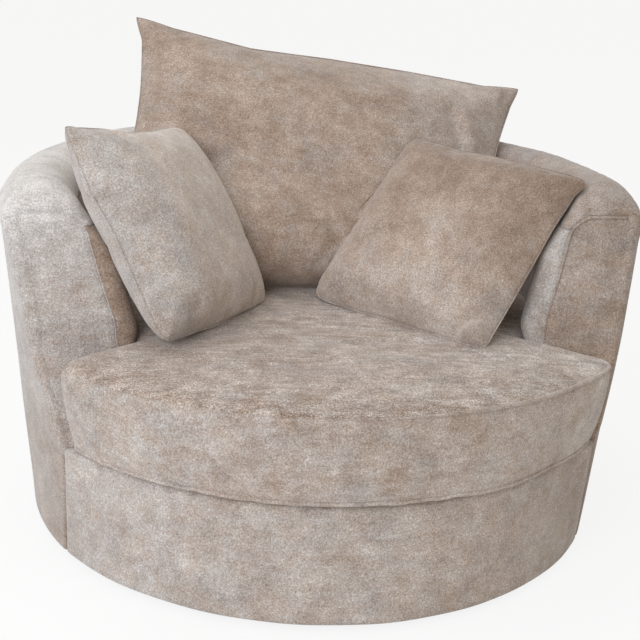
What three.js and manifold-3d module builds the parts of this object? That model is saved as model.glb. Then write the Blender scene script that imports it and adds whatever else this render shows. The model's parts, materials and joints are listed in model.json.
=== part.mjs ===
// A round swivel cuddle chair: an upholstered barrel on a ball-race swivel, with a loose
// seat cushion, a loose back cushion and two scatter cushions.
// Millimetres and degrees. The chair faces -Y, stands on z = 0 and turns about the Z axis.
import * as THREE from "three";
import { mergeVertices } from "three/addons/utils/BufferGeometryUtils.js";
import Module from "manifold-3d";

const wasm = await Module();
wasm.setup();

// Overall form of the barrel
const CHAIR_RADIUS = 620; // where the outer wall meets the arm roll
const HEM_TAPER = 52; // how much narrower the chair is at its hem
const HEM_RADIUS = CHAIR_RADIUS - HEM_TAPER; // and all the way up the front border
const HEM_HEIGHT = 15;
const ROLL_RADIUS = 70; // padded roll along the top of arms and back
const ROLL_AXIS_HEIGHT = 620;
const INNER_WALL_TOP_RADIUS = CHAIR_RADIUS - 2 * ROLL_RADIUS;
const INNER_WALL_TAPER = 46;
const INNER_WALL_FOOT_RADIUS = INNER_WALL_TOP_RADIUS - INNER_WALL_TAPER; // at the seat deck
const DECK_HEIGHT = 243;
const FACING_TOP_RISE = 20; // above the roll's axis
const FACING_TOP_HEIGHT = ROLL_AXIS_HEIGHT + FACING_TOP_RISE; // of the arms' sloping front face
const FACING_TOP_SETBACK = 156; // how far its top edge lies in front of the swivel axis
const FACING_LEAN = 21.3; // degrees from the vertical, leaning back
const ARM_END_RADIUS = 78; // rounding of the roll's front end, above the facing
const ARM_EDGE_REACH = 45; // rounding of the facing's inner edge, along either side of it

// Walls and clearances
const COVER = 3; // fabric with its wadding
const BOARD = 5; // bent backing board under the outer cover
const POST_DEPTH = 45;
const POST_WIDTH = 46;
const FACING_BOARD = 15;
const GAP = 0.3; // between pieces that touch
const EDGE_START_SHARE = 0.2; // of the gap
const HEM_RETURN = 25; // cover turned under the bottom edge
const PLY = 18;

// Floor base and swivel
const FELT = 3;
const BOTTOM_RING_WIDTH = 203;
const BOTTOM_RING_INNER = HEM_RADIUS - BOTTOM_RING_WIDTH;
const FLOOR_DISC_CLEARANCE = 15; // inside the bottom ring
const FLOOR_DISC_RADIUS = BOTTOM_RING_INNER - FLOOR_DISC_CLEARANCE;
const FLOOR_DISC_BEVEL = 4;
const SWIVEL_PLATE_SIDE = 300;
const SWIVEL_PLATE = 2.5;
const SWIVEL_PLATE_CORNER = 20;
const BALL_RADIUS = 5;
const BALL_COUNT = 16;
const BALL_STAND_SHARE = 1.3; // height of a ball's centre above its plate, of its radius
const RACE_RADIUS = 112;
const RACE_HALF_WIDTH = 11;
const RACE_DEPTH_SHARE = 0.85; // height of the race above its plate, of the ball's radius
const CAGE = 2.4; // half width of the ring that holds the balls
const CAGE_THICKNESS = 1.2;
const RIVET_RADIUS = 8;
const RIVET_HEAD_RADIUS = 14;
const RIVET_HEAD = 3;
const SCREW_RADIUS = 2.4;
const SCREW_HEAD_RADIUS = 5.5;
const SCREW_CROWN_SHARE = 0.7; // flat top of the head, of its radius
const SCREW_HEAD = 3;
const SCREW_LENGTH = 13;
const SCREW_OFFSET = 130; // from the axis, along X and along Y
const UPPER_SCREW_OFFSET = 114;

// Frame
const SWIVEL_BOARD_WIDTH = 420;
const SWIVEL_BOARD_ARM = 300;
const SWIVEL_BOARD_INSET = 63;
const SWIVEL_BOARD_HALF_LENGTH = HEM_RADIUS - SWIVEL_BOARD_INSET;
const BOARD_HOLE_RADIUS = 30;
const DECK_BUILD_UP = 38; // of frame, springs, pad and cloth
const DECK_RING_BOTTOM = DECK_HEIGHT - DECK_BUILD_UP;
const DECK_RING_LEDGE = 39; // inside the barrel's foot
const DECK_RING_INNER = INNER_WALL_FOOT_RADIUS - DECK_RING_LEDGE;
const RIM_RAIL = 22;
const RIM_RAIL_DROP_SHARE = 0.18; // of the roll's radius, below the roll's axis
const FRONT_POST_OFFSET = 58; // from the swivel board's edge to the front uprights
const SIDE_POST_TURN = 6.8; // degrees that the side uprights stand behind the border's seams
const REAR_POST_ANGLE = 47; // from the middle of the back
const UPPER_POST_ANGLES = [-66, -22, 22, 66];
const DUST_COVER = 1;

// Seat springs and deck
const SPRING_COUNT = 5;
const SPRING_SIDE_MARGIN = 123; // from the deck ring's inner edge to the outermost spring
const SPRING_SPACING = ((DECK_RING_INNER - SPRING_SIDE_MARGIN) * 2) / (SPRING_COUNT - 1);
const WIRE_RADIUS = 2;
const SPRING_AMPLITUDE = 24;
const SPRING_HALF_PITCH = 64;
const SPRING_RISE = 5;
const SPRING_BULGE_SHARE = 0.16; // how far each turn swells past a sine wave, of its half pitch
const SPRING_TAIL = 34; // straight end of the wire, held in its clip
const SPRING_HOLD = 9; // of a spring's end over the deck ring
const SPRING_END_RADIUS = DECK_RING_INNER + SPRING_HOLD;
const CLIP_WIDTH = 30;
const CLIP_LENGTH = 18;
const CLIP_HEIGHT = 6.6;
const DECK_PAD = 6;
const DECK_CLOTH = 3;
const DECK_FRONT_INSET = 13;
const DECK_FRONT_RADIUS = HEM_RADIUS - DECK_FRONT_INSET;

// Seat cushion
const SEAT_THICKNESS = 163; // between its bottom and top seams
const SEAT_CROWN = 20;
const SEAT_FRONT_REACH = 35;
const SEAT_FRONT_RADIUS = CHAIR_RADIUS + SEAT_FRONT_REACH; // of its front edge in plan
const SEAT_FRONT_CENTRE = 70; // how far behind the swivel axis that arc has its centre
const SEAT_WING_ANGLE = 122.5; // of the wings' rear edges, from the middle of the back
const SEAT_TIP_TURN = 5; // degrees over which a wing's tip is rounded
const SEAT_TIP_TUCK = 34; // how far the tips are drawn in at the underside
const SEAT_CLEARANCE = 1;
// The rounded tip: shares of SEAT_TIP_TURN and of the wing's reach
const SEAT_TIP_SHARES = [[0.02, 0.45], [0.06, 0.78], [0.22, 0.86], [0.58, 0.93]];
// Rings from the underside up: shares of the plan, of the wall's height, of the crown, and
// of the tuck
const SEAT_RING_SHARES = [
  [0.55, 0, 0, 1],
  [0.97, 0, 0, 1],
  [1, 0.04, 0, 0.85],
  [1.006, 0.27, 0, 0.45],
  [1.008, 0.55, 0, 0.16],
  [1, 1, 0, 0],
  [0.965, 1, 0.35, 0],
  [0.86, 1, 0.68, 0],
  [0.6, 1, 0.92, 0],
];
const SEAT_ZIP_LENGTH = 320;

// Loose cushions. Corners come in the order top left, top right, bottom right, bottom left,
// as shares of CHAIR_RADIUS to the right, to the rear and above the seat cushion's top seam.
const BACK_THICKNESS = 175;
const BACK_CORNER_SHARES = [
  [-0.577, 0.637, 0.837],
  [0.771, 0.545, 0.642],
  [0.62, 0.121, 0.02],
  [-0.685, 0.137, 0.095],
];
const BACK_DRAWN_IN_SHARES = [0.07, 0.02]; // sides, then top and bottom edges
const BACK_SLUMP_SHARE = 0.12; // how much fuller it is low down
const SCATTER_THICKNESS = 145;
const SCATTER_DRAWN_IN_SHARES = [0.035, 0.03];
const LEFT_CORNER_SHARES = [
  [-0.79, -0.298, 0.638],
  [-0.45, 0.266, 0.541],
  [-0.195, 0.016, 0.029],
  [-0.51, -0.54, 0.064],
];
const RIGHT_CORNER_SHARES = [
  [0.344, 0.266, 0.522],
  [0.806, -0.166, 0.472],
  [0.437, -0.497, 0.0255],
  [-0.019, 0, 0.046],
];
const CUSHION_COVER = 2;
const SLIT = 1.2; // closed zip along a cushion's bottom edge
const SLIT_LENGTH_SHARE = 0.6; // of that edge
const SLIT_DEPTH_SHARE = 0.16; // of the cushion's height
const PILLOW_CROWN_POWER = 0.55; // lower is blunter at the edges

// Sampling of curves
const TURN_STEPS = 60;
const FRAME_STEPS = TURN_STEPS / 2;
const ROLL_STEPS = 7;
const SEAT_REAR_STEPS = 12;
const SEAT_FRONT_STEPS = 12;
const DISC_STEPS = 32;
const RACE_STEPS = 32;
const RACE_ARC_STEPS = 3;
const HOLE_STEPS = 20;
const PIN_STEPS = 16;
const SCREW_SIDES = 6;
const BALL_SIDES = 6;
const WIRE_SIDES = 5;
const WIRE_STEPS = 4; // along each half turn of a spring
const TAIL_STEPS = 2; // along each straight tail
const CORNER_STEPS = 3;
const ARM_END_STEPS = 36;
const ARM_EDGE_STEPS = 3;
const ARM_EDGE_LEVELS = 2; // up the arm
const ARM_EDGE_TURNS = [0, 17, 48, 88]; // degrees round the roll, from its inner side
const BACK_CUSHION_STEPS = [12, 8];
const SCATTER_STEPS = [8, 8];

// Heights that follow from the sizes above
const FLOOR_DISC_BOTTOM = FELT + GAP;
const FLOOR_DISC_TOP = FLOOR_DISC_BOTTOM + PLY;
const LOWER_PLATE_BOTTOM = FLOOR_DISC_TOP + GAP;
const LOWER_PLATE_TOP = LOWER_PLATE_BOTTOM + SWIVEL_PLATE;
const BALL_HEIGHT = LOWER_PLATE_TOP + BALL_RADIUS * BALL_STAND_SHARE;
const UPPER_PLATE_BOTTOM = BALL_HEIGHT + BALL_RADIUS * BALL_STAND_SHARE;
const UPPER_PLATE_TOP = UPPER_PLATE_BOTTOM + SWIVEL_PLATE;
const BOTTOM_RING_TOP = UPPER_PLATE_TOP;
const BOTTOM_RING_BOTTOM = BOTTOM_RING_TOP - PLY;
const SWIVEL_BOARD_BOTTOM = BOTTOM_RING_TOP + GAP;
const SWIVEL_BOARD_TOP = SWIVEL_BOARD_BOTTOM + PLY;
const DECK_RING_TOP = DECK_RING_BOTTOM + PLY;
const WIRE_HEIGHT = DECK_RING_TOP + CLIP_HEIGHT / 2;
const DECK_CLOTH_BOTTOM = DECK_HEIGHT - DECK_CLOTH;
const DECK_PAD_TOP = DECK_CLOTH_BOTTOM - GAP;
const DECK_PAD_BOTTOM = DECK_PAD_TOP - DECK_PAD;
const RIM_RAIL_TOP = ROLL_AXIS_HEIGHT - ROLL_RADIUS * RIM_RAIL_DROP_SHARE;
const RIM_RAIL_BOTTOM = RIM_RAIL_TOP - RIM_RAIL;
const ROLL_CENTRE_RADIUS = CHAIR_RADIUS - ROLL_RADIUS;
const BOARD_INSET = COVER + GAP;
const POST_INSET = BOARD_INSET + BOARD + GAP;
const FRAME_RADIUS = HEM_RADIUS - POST_INSET;
const SEAT_BOTTOM = DECK_HEIGHT + GAP;
const SEAT_TOP = SEAT_BOTTOM + SEAT_THICKNESS;
const FAR = CHAIR_RADIUS * 2; // reach of the cutting blocks
const ALL = [-FAR, FAR];
const MERGE_SHARE = 0.001; // of the gap: vertices closer than this are one

const FABRIC = { color: 0xb3a194, roughness: 0.92, metalness: 0 };
const FOAM = { color: 0xe6dcbc, roughness: 0.95, metalness: 0 };
const WADDING = { color: 0xf2f0ea, roughness: 1, metalness: 0 };
const PLYWOOD = { color: 0xc9a878, roughness: 0.75, metalness: 0 };
const TIMBER = { color: 0xd2b589, roughness: 0.8, metalness: 0 };
const HARDBOARD = { color: 0x8a6a4c, roughness: 0.85, metalness: 0 };
const STEEL = { color: 0x8d9094, roughness: 0.4, metalness: 0.9 };
const BLACK_STEEL = { color: 0x303236, roughness: 0.5, metalness: 0.7 };
const BLACK_CLOTH = { color: 0x24242a, roughness: 0.95, metalness: 0 };
const FELT_GREY = { color: 0x55524e, roughness: 1, metalness: 0 };
const ZIP = { color: 0x9a897c, roughness: 0.6, metalness: 0 };

const group = new THREE.Group();
const radians = (angle) => (angle * Math.PI) / 180;
const degrees = (angle) => (angle * 180) / Math.PI;

// The centre of the roll's rounded front end, above the facing
const ARM_END_Y = -FACING_TOP_SETBACK + ARM_END_RADIUS * Math.cos(radians(FACING_LEAN));
const ARM_END_Z = FACING_TOP_HEIGHT - ARM_END_RADIUS * Math.sin(radians(FACING_LEAN));

// Solids

function toSolid(geometry) {
  geometry.deleteAttribute("normal");
  geometry.deleteAttribute("uv");
  const merged = mergeVertices(geometry, GAP * MERGE_SHARE);
  return new wasm.Manifold(
    new wasm.Mesh({
      numProp: 3,
      vertProperties: new Float32Array(merged.attributes.position.array),
      triVerts: new Uint32Array(merged.index.array),
    }),
  );
}

function addPiece(name, solid, look) {
  const mesh = solid.getMesh();
  const geometry = new THREE.BufferGeometry();
  geometry.setAttribute("position", new THREE.BufferAttribute(mesh.vertProperties, 3));
  geometry.setIndex(new THREE.BufferAttribute(mesh.triVerts, 1));
  geometry.computeVertexNormals();
  const piece = new THREE.Mesh(geometry, new THREE.MeshStandardMaterial(look));
  piece.name = name;
  group.add(piece);
}

// A closed profile of [radius, height] points, turned all the way round the Z axis.
function revolve(profile, steps = TURN_STEPS) {
  const points = [...profile, profile[0]].map(([r, z]) => new THREE.Vector2(r, z));
  const lathe = new THREE.LatheGeometry(points, steps);
  const solid = toSolid(lathe.rotateX(Math.PI / 2));
  return solid.volume() > 0 ? solid : toSolid(reversed(lathe));
}

function reversed(geometry) {
  const index = geometry.index.array;
  for (let i = 0; i < index.length; i += 3) {
    [index[i + 1], index[i + 2]] = [index[i + 2], index[i + 1]];
  }
  return geometry;
}

function block(x, y, z) {
  const size = [x, y, z].map(([low, high]) => high - low);
  const middle = [x, y, z].map(([low, high]) => (low + high) / 2);
  return toSolid(new THREE.BoxGeometry(...size).translate(...middle));
}

function plate(shape, bottom, thickness, curveSegments) {
  const options = { depth: thickness, bevelEnabled: false, curveSegments };
  return toSolid(new THREE.ExtrudeGeometry(shape, options).translate(0, 0, bottom));
}

function ring(outer, inner, bottom, top, steps = TURN_STEPS) {
  return revolve([[inner, bottom], [outer, bottom], [outer, top], [inner, top]], steps);
}

function cylinder(radius, bottom, top, steps = PIN_STEPS) {
  const length = top - bottom;
  const shape = new THREE.CylinderGeometry(radius, radius, length, steps);
  return toSolid(shape.rotateX(Math.PI / 2).translate(0, 0, bottom + length / 2));
}

// Everything in front of the arms' sloping face, which is first moved forward by an offset.
function spaceBeforeFacing(offset) {
  const space = new THREE.BoxGeometry(FAR * 2, FAR, FAR * 2);
  space.translate(0, -FAR / 2 - offset, 0).rotateX(-radians(FACING_LEAN));
  return toSolid(space.translate(0, -FACING_TOP_SETBACK, FACING_TOP_HEIGHT));
}

// The same space, with the roll's rounded front end above the facing.
function spaceBeforeArm(offset) {
  const radius = ARM_END_RADIUS + offset;
  const behind = block(ALL, [ARM_END_Y, FAR * 2], ALL);
  const bar = new THREE.CylinderGeometry(radius, radius, FAR * 2, ARM_END_STEPS).rotateZ(Math.PI / 2);
  const end = toSolid(bar.translate(0, ARM_END_Y, ARM_END_Z));
  const below = new THREE.BoxGeometry(FAR * 2, FAR, FAR);
  below.translate(0, FAR / 2 - offset, -FAR / 2).rotateX(-radians(FACING_LEAN));
  below.translate(0, -FACING_TOP_SETBACK, FACING_TOP_HEIGHT);
  return block(ALL, ALL, ALL).subtract(behind).subtract(end).subtract(toSolid(below));
}

// One level of the wedge that rounding takes off an arm's inner front edge, as points in plan:
// the rounded corner between the face and the wall, and three points outside the arm. It
// starts just outside both surfaces, so that it leaves no slivers on them.
function armEdgeOutline(wallRadius, wallY, reach) {
  const radius = wallRadius * Math.cos(Math.PI / TURN_STEPS) - GAP * EDGE_START_SHARE;
  const faceY = wallY - GAP * EDGE_START_SHARE;
  const cornerX = Math.sqrt(radius ** 2 - faceY ** 2);
  const turn = Math.atan2(cornerX, -faceY) + reach / radius;
  const wallPoint = new THREE.Vector2(Math.sin(turn), -Math.cos(turn)).multiplyScalar(radius);
  const curve = new THREE.QuadraticBezierCurve(
    new THREE.Vector2(cornerX + reach, faceY), new THREE.Vector2(cornerX, faceY), wallPoint);
  const clear = ROLL_RADIUS / 2;
  return [
    [cornerX + reach, faceY - clear],
    ...curve.getPoints(ARM_EDGE_STEPS).map(({ x, y }) => [x, y]),
    wallPoint.multiplyScalar(1 - clear / radius).toArray(),
    [cornerX - clear, faceY - clear],
  ];
}

// The wedges off both arms, from the deck up and over the roll's end.
function armEdges(offset) {
  const lean = radians(FACING_LEAN);
  const topY = -FACING_TOP_SETBACK - offset / Math.cos(lean);
  const faceY = (z) => topY - (FACING_TOP_HEIGHT - z) * Math.tan(lean);
  const endRadius = ARM_END_RADIUS + offset;
  const roundedY = (z) => ARM_END_Y - Math.sqrt(Math.max(endRadius ** 2 - (z - ARM_END_Z) ** 2, 0));
  const rings = [];
  for (let i = 0; i < ARM_EDGE_LEVELS; i += 1) {
    const z = DECK_HEIGHT + ((ROLL_AXIS_HEIGHT - DECK_HEIGHT) * i) / ARM_EDGE_LEVELS;
    rings.push([z, armEdgeOutline(innerRadius(z) - offset, faceY(z), ARM_EDGE_REACH)]);
  }
  const reach = ROLL_RADIUS + offset;
  for (const turnAngle of ARM_EDGE_TURNS) {
    const turn = radians(turnAngle);
    const z = ROLL_AXIS_HEIGHT + reach * Math.sin(turn);
    const y = z > FACING_TOP_HEIGHT ? roundedY(z) : faceY(z);
    const rounding = ARM_EDGE_REACH * Math.cos(turn);
    rings.push([z, armEdgeOutline(ROLL_CENTRE_RADIUS - reach * Math.cos(turn), y, rounding)]);
  }
  const count = rings[0][1].length;
  const points = rings.flatMap(([z, outline]) => outline.flatMap(([x, y]) => [x, y, z]));
  const index = [];
  const top = (rings.length - 1) * count;
  for (let i = 0; i < count; i += 1) {
    const next = (i + 1) % count;
    for (let a = 0; a < top; a += count) {
      const b = a + count;
      index.push(a + i, a + next, b + next, a + i, b + next, b + i);
    }
    if (next < count - 1 && i < count - 1) {
      index.push(count - 1, next, i, top + count - 1, top + i, top + next);
    }
  }
  const right = closedSolid(points, index);
  return right.add(right.mirror([1, 0, 0]));
}

// Everything to the left, where sign is -1, or to the right of the chair's middle.
const half = (sign) => block(sign < 0 ? [-FAR, 0] : [0, FAR], ALL, ALL);

// Barrel profiles. An inset moves a surface into the upholstery.

const outerRadius = (z) =>
  HEM_RADIUS + ((CHAIR_RADIUS - HEM_RADIUS) * (z - HEM_HEIGHT)) / (ROLL_AXIS_HEIGHT - HEM_HEIGHT);

const innerRadius = (z) =>
  INNER_WALL_FOOT_RADIUS +
  ((INNER_WALL_TOP_RADIUS - INNER_WALL_FOOT_RADIUS) * (z - DECK_HEIGHT)) / (ROLL_AXIS_HEIGHT - DECK_HEIGHT);

// The vertical seams between the front border and the sides go on from the facings' outer edges.
const FACING_FOOT_SETBACK =
  FACING_TOP_SETBACK + (FACING_TOP_HEIGHT - DECK_HEIGHT) * Math.tan(radians(FACING_LEAN));
const SEAM_HALF_WIDTH = Math.sqrt(outerRadius(DECK_HEIGHT) ** 2 - FACING_FOOT_SETBACK ** 2);

function rollArc(inset, from, to) {
  return Array.from({ length: ROLL_STEPS + 1 }, (_, i) => {
    const angle = radians(from + ((to - from) * i) / ROLL_STEPS);
    const reach = ROLL_RADIUS - inset;
    return [ROLL_CENTRE_RADIUS + reach * Math.cos(angle), ROLL_AXIS_HEIGHT + reach * Math.sin(angle)];
  });
}

function outerPath(inset, foot) {
  return [[outerRadius(foot) - inset, foot], ...rollArc(inset, 0, 180)];
}

function barrelSection(inset, foot) {
  return revolve([...outerPath(inset, foot), [innerRadius(foot) + inset, foot]]);
}

// The room in front of the arms, from a height up.
function openingAbove(height, offset) {
  return spaceBeforeArm(offset).subtract(block(ALL, ALL, [-FAR, height])).add(armEdges(offset));
}

// The part of the barrel that is open at the front: above the deck it ends at the arms'
// face, and below the deck at the border's two vertical seams. The two halves overlap a
// little, so that they leave no slivers at the deck's height.
function frontOpening(offset, seamGap) {
  const reach = SEAM_HALF_WIDTH + seamGap;
  const below = block([-reach, reach], [-FAR, 0], [-FAR, DECK_HEIGHT]);
  return openingAbove(DECK_HEIGHT - GAP * EDGE_START_SHARE, offset).add(below);
}

// Floor base and swivel

function roundedSquare(sideLength, corner, holes) {
  const half = sideLength / 2;
  const inner = half - corner;
  const shape = new THREE.Shape();
  shape.absarc(inner, inner, corner, 0, Math.PI / 2);
  shape.absarc(-inner, inner, corner, Math.PI / 2, Math.PI);
  shape.absarc(-inner, -inner, corner, Math.PI, Math.PI * 1.5);
  shape.absarc(inner, -inner, corner, Math.PI * 1.5, Math.PI * 2);
  for (const [x, y, radius] of holes) shape.holes.push(circlePath(x, y, radius));
  return shape;
}

function circlePath(x, y, radius) {
  return new THREE.Path().absarc(x, y, radius, 0, Math.PI * 2, true);
}

const corners = (offset) =>
  [[1, 1], [-1, 1], [-1, -1], [1, -1]].map(([x, y]) => [x * offset, y * offset]);

function screwHoles(offset, bottom, top) {
  const hole = cylinder(SCREW_RADIUS + GAP * 2, bottom, top, SCREW_SIDES);
  return corners(offset)
    .map(([x, y]) => hole.translate([x, y, 0]))
    .reduce((all, next) => all.add(next));
}

// A pan-head screw whose head rests on height z; up is 1 where the tip points up.
function screw(name, x, y, z, up) {
  const headSide = -up * SCREW_HEAD;
  const profile = [
    [0, headSide],
    [SCREW_HEAD_RADIUS * SCREW_CROWN_SHARE, headSide],
    [SCREW_HEAD_RADIUS, 0],
    [SCREW_RADIUS, 0],
    [0, up * SCREW_LENGTH],
  ];
  addPiece(name, revolve(profile, SCREW_SIDES).translate([x, y, z]), STEEL);
}

function makeFloorBase() {
  const padRadius = FLOOR_DISC_RADIUS - FLOOR_DISC_BEVEL;
  const pad = revolve([[0, 0], [padRadius, 0], [padRadius, FELT], [0, FELT]], DISC_STEPS);
  addPiece("felt_pad", pad, FELT_GREY);

  const bore = RIVET_HEAD_RADIUS + 2 * GAP;
  const disc = revolve([
    [bore, FLOOR_DISC_BOTTOM],
    [FLOOR_DISC_RADIUS, FLOOR_DISC_BOTTOM],
    [FLOOR_DISC_RADIUS, FLOOR_DISC_TOP - FLOOR_DISC_BEVEL],
    [FLOOR_DISC_RADIUS - FLOOR_DISC_BEVEL, FLOOR_DISC_TOP],
    [bore, FLOOR_DISC_TOP],
  ], DISC_STEPS);
  const pilots = screwHoles(SCREW_OFFSET, LOWER_PLATE_TOP - SCREW_LENGTH - GAP, FLOOR_DISC_TOP + GAP);
  addPiece("floor_disc", disc.subtract(pilots), PLYWOOD);
}

// A pressed ring on a plate's face, with a groove in which the balls run. Its foot is sunk
// into the plate.
function race(plateFace, direction) {
  const foot = plateFace - (direction * SWIVEL_PLATE) / 2;
  const top = plateFace + direction * BALL_RADIUS * RACE_DEPTH_SHARE;
  const groove = BALL_RADIUS + 3 * GAP;
  const opening = Math.acos(Math.abs(BALL_HEIGHT - top) / groove);
  const arc = Array.from({ length: RACE_ARC_STEPS + 1 }, (_, i) => {
    const angle = opening - (opening * 2 * i) / RACE_ARC_STEPS;
    return [RACE_RADIUS + groove * Math.sin(angle), BALL_HEIGHT - direction * groove * Math.cos(angle)];
  });
  const inner = RACE_RADIUS - RACE_HALF_WIDTH;
  const outer = RACE_RADIUS + RACE_HALF_WIDTH;
  return revolve([[inner, foot], [outer, foot], [outer, top], ...arc, [inner, top]], RACE_STEPS);
}

function swivelPlate(bottom, face, direction, offset) {
  const holes = corners(offset).map(([x, y]) => [x, y, SCREW_RADIUS + GAP * 2]);
  const square = roundedSquare(SWIVEL_PLATE_SIDE, SWIVEL_PLATE_CORNER, holes);
  const hub = cylinder(RIVET_RADIUS + GAP, bottom - SWIVEL_PLATE, bottom + SWIVEL_PLATE * 2);
  return plate(square, bottom, SWIVEL_PLATE, CORNER_STEPS).add(race(face, direction)).subtract(hub);
}

function ballRing() {
  const bottom = BALL_HEIGHT - CAGE_THICKNESS / 2;
  let solid = ring(RACE_RADIUS + CAGE, RACE_RADIUS - CAGE, bottom, bottom + CAGE_THICKNESS, RACE_STEPS);
  const sphere = new THREE.SphereGeometry(BALL_RADIUS, BALL_SIDES, BALL_SIDES - 2);
  const ball = toSolid(sphere.rotateX(Math.PI / 2));
  for (let i = 0; i < BALL_COUNT; i += 1) {
    const angle = (i / BALL_COUNT) * Math.PI * 2;
    solid = solid.add(
      ball.translate([RACE_RADIUS * Math.cos(angle), RACE_RADIUS * Math.sin(angle), BALL_HEIGHT]));
  }
  return solid;
}

function makeSwivel() {
  const lower = swivelPlate(LOWER_PLATE_BOTTOM, LOWER_PLATE_TOP, 1, SCREW_OFFSET);
  const upper = swivelPlate(UPPER_PLATE_BOTTOM, UPPER_PLATE_BOTTOM, -1, UPPER_SCREW_OFFSET);
  addPiece("lower_swivel_plate", lower, BLACK_STEEL);
  addPiece("upper_swivel_plate", upper, BLACK_STEEL);
  addPiece("ball_ring", ballRing(), STEEL);

  const lowerHeadTop = LOWER_PLATE_BOTTOM - GAP;
  const upperHeadBottom = UPPER_PLATE_TOP + GAP;
  addPiece("centre_rivet", revolve([
    [0, lowerHeadTop - RIVET_HEAD],
    [RIVET_HEAD_RADIUS, lowerHeadTop - RIVET_HEAD],
    [RIVET_HEAD_RADIUS, lowerHeadTop],
    [RIVET_RADIUS, lowerHeadTop],
    [RIVET_RADIUS, upperHeadBottom],
    [RIVET_HEAD_RADIUS, upperHeadBottom],
    [RIVET_HEAD_RADIUS, upperHeadBottom + RIVET_HEAD],
    [0, upperHeadBottom + RIVET_HEAD],
  ], PIN_STEPS), STEEL);

  corners(SCREW_OFFSET).forEach(([x, y], i) =>
    screw(`base_screw_${i + 1}`, x, y, LOWER_PLATE_TOP + GAP, -1));
  corners(UPPER_SCREW_OFFSET).forEach(([x, y], i) =>
    screw(`board_screw_${i + 1}`, x, y, UPPER_PLATE_BOTTOM - GAP, 1));
}

// Frame

// How far a flat upright stands back from the bent board, so that its edges clear it.
const FACET_SAG = HEM_RADIUS * (1 - Math.cos(Math.PI / TURN_STEPS));
const POST_STAND_OFF = POST_WIDTH ** 2 / (8 * HEM_RADIUS) + FACET_SAG;
const SEAM_ANGLE = 180 - degrees(Math.asin(SEAM_HALF_WIDTH / HEM_RADIUS));

const FRONT_POST_X = SWIVEL_BOARD_WIDTH / 2 + FRONT_POST_OFFSET;
const FRONT_POST_ANGLE = 180 - degrees(Math.asin(FRONT_POST_X / (FRAME_RADIUS - POST_DEPTH / 2)));
const LOWER_POST_ANGLES = [FRONT_POST_ANGLE, SEAM_ANGLE - SIDE_POST_TURN, REAR_POST_ANGLE];

// An upright between two heights whose section follows the wall's slope.
function post(name, angle, bottom, top) {
  const isFront = Math.abs(angle) > SEAM_ANGLE;
  const outer = (z) => (isFront ? FRAME_RADIUS : outerRadius(z) - POST_INSET) - POST_STAND_OFF;
  const shape = new THREE.Shape();
  shape.moveTo(outer(bottom) - POST_DEPTH, bottom).lineTo(outer(bottom), bottom);
  shape.lineTo(outer(top), top).lineTo(outer(top) - POST_DEPTH, top).closePath();
  const upright = new THREE.ExtrudeGeometry(shape, { depth: POST_WIDTH, bevelEnabled: false });
  upright.translate(0, 0, -POST_WIDTH / 2).rotateX(Math.PI / 2).rotateZ(Math.PI / 2 - radians(angle));
  addPiece(name, toSolid(upright), TIMBER);
}

function makeFrame() {
  addPiece("bottom_ring",
    ring(FRAME_RADIUS, BOTTOM_RING_INNER, BOTTOM_RING_BOTTOM, BOTTOM_RING_TOP, FRAME_STEPS), PLYWOOD);

  const width = SWIVEL_BOARD_WIDTH / 2;
  const arm = SWIVEL_BOARD_ARM / 2;
  const reach = SWIVEL_BOARD_HALF_LENGTH;
  const levels = [SWIVEL_BOARD_BOTTOM, SWIVEL_BOARD_TOP];
  const lengthways = block([-width, width], [-reach, reach], levels);
  const cross = lengthways.add(block([-reach, reach], [-arm, arm], levels));
  const below = SWIVEL_BOARD_BOTTOM - PLY;
  const centreHole = cylinder(BOARD_HOLE_RADIUS, below, SWIVEL_BOARD_TOP + PLY, HOLE_STEPS);
  const pilots = screwHoles(UPPER_SCREW_OFFSET, below, UPPER_PLATE_BOTTOM + SCREW_LENGTH + GAP);
  addPiece("swivel_board", cross.subtract(centreHole).subtract(pilots), PLYWOOD);

  addPiece("deck_ring", deckRing(), PLYWOOD);

  const railOuter = outerRadius(RIM_RAIL_BOTTOM) - POST_INSET;
  const railInner = outerRadius(RIM_RAIL_TOP) - POST_INSET - POST_STAND_OFF - POST_DEPTH;
  const rail = ring(railOuter, railInner, RIM_RAIL_BOTTOM, RIM_RAIL_TOP);
  addPiece("rim_rail", rail.subtract(spaceBeforeFacing(-COVER - FACING_BOARD - 2 * GAP)), PLYWOOD);

  const lowerAngles = [...LOWER_POST_ANGLES.map((angle) => -angle), ...LOWER_POST_ANGLES.toReversed()];
  lowerAngles.forEach((angle, i) =>
    post(`lower_post_${i + 1}`, angle, BOTTOM_RING_TOP + GAP, DECK_RING_BOTTOM - GAP));
  UPPER_POST_ANGLES.forEach((angle, i) =>
    post(`upper_post_${i + 1}`, angle, DECK_RING_TOP + GAP, RIM_RAIL_BOTTOM - GAP));
}

const springPlaces = () =>
  Array.from({ length: SPRING_COUNT }, (_, i) => (i - (SPRING_COUNT - 1) / 2) * SPRING_SPACING);
const springHalfLength = (x) => Math.sqrt(SPRING_END_RADIUS ** 2 - x ** 2);

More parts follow.
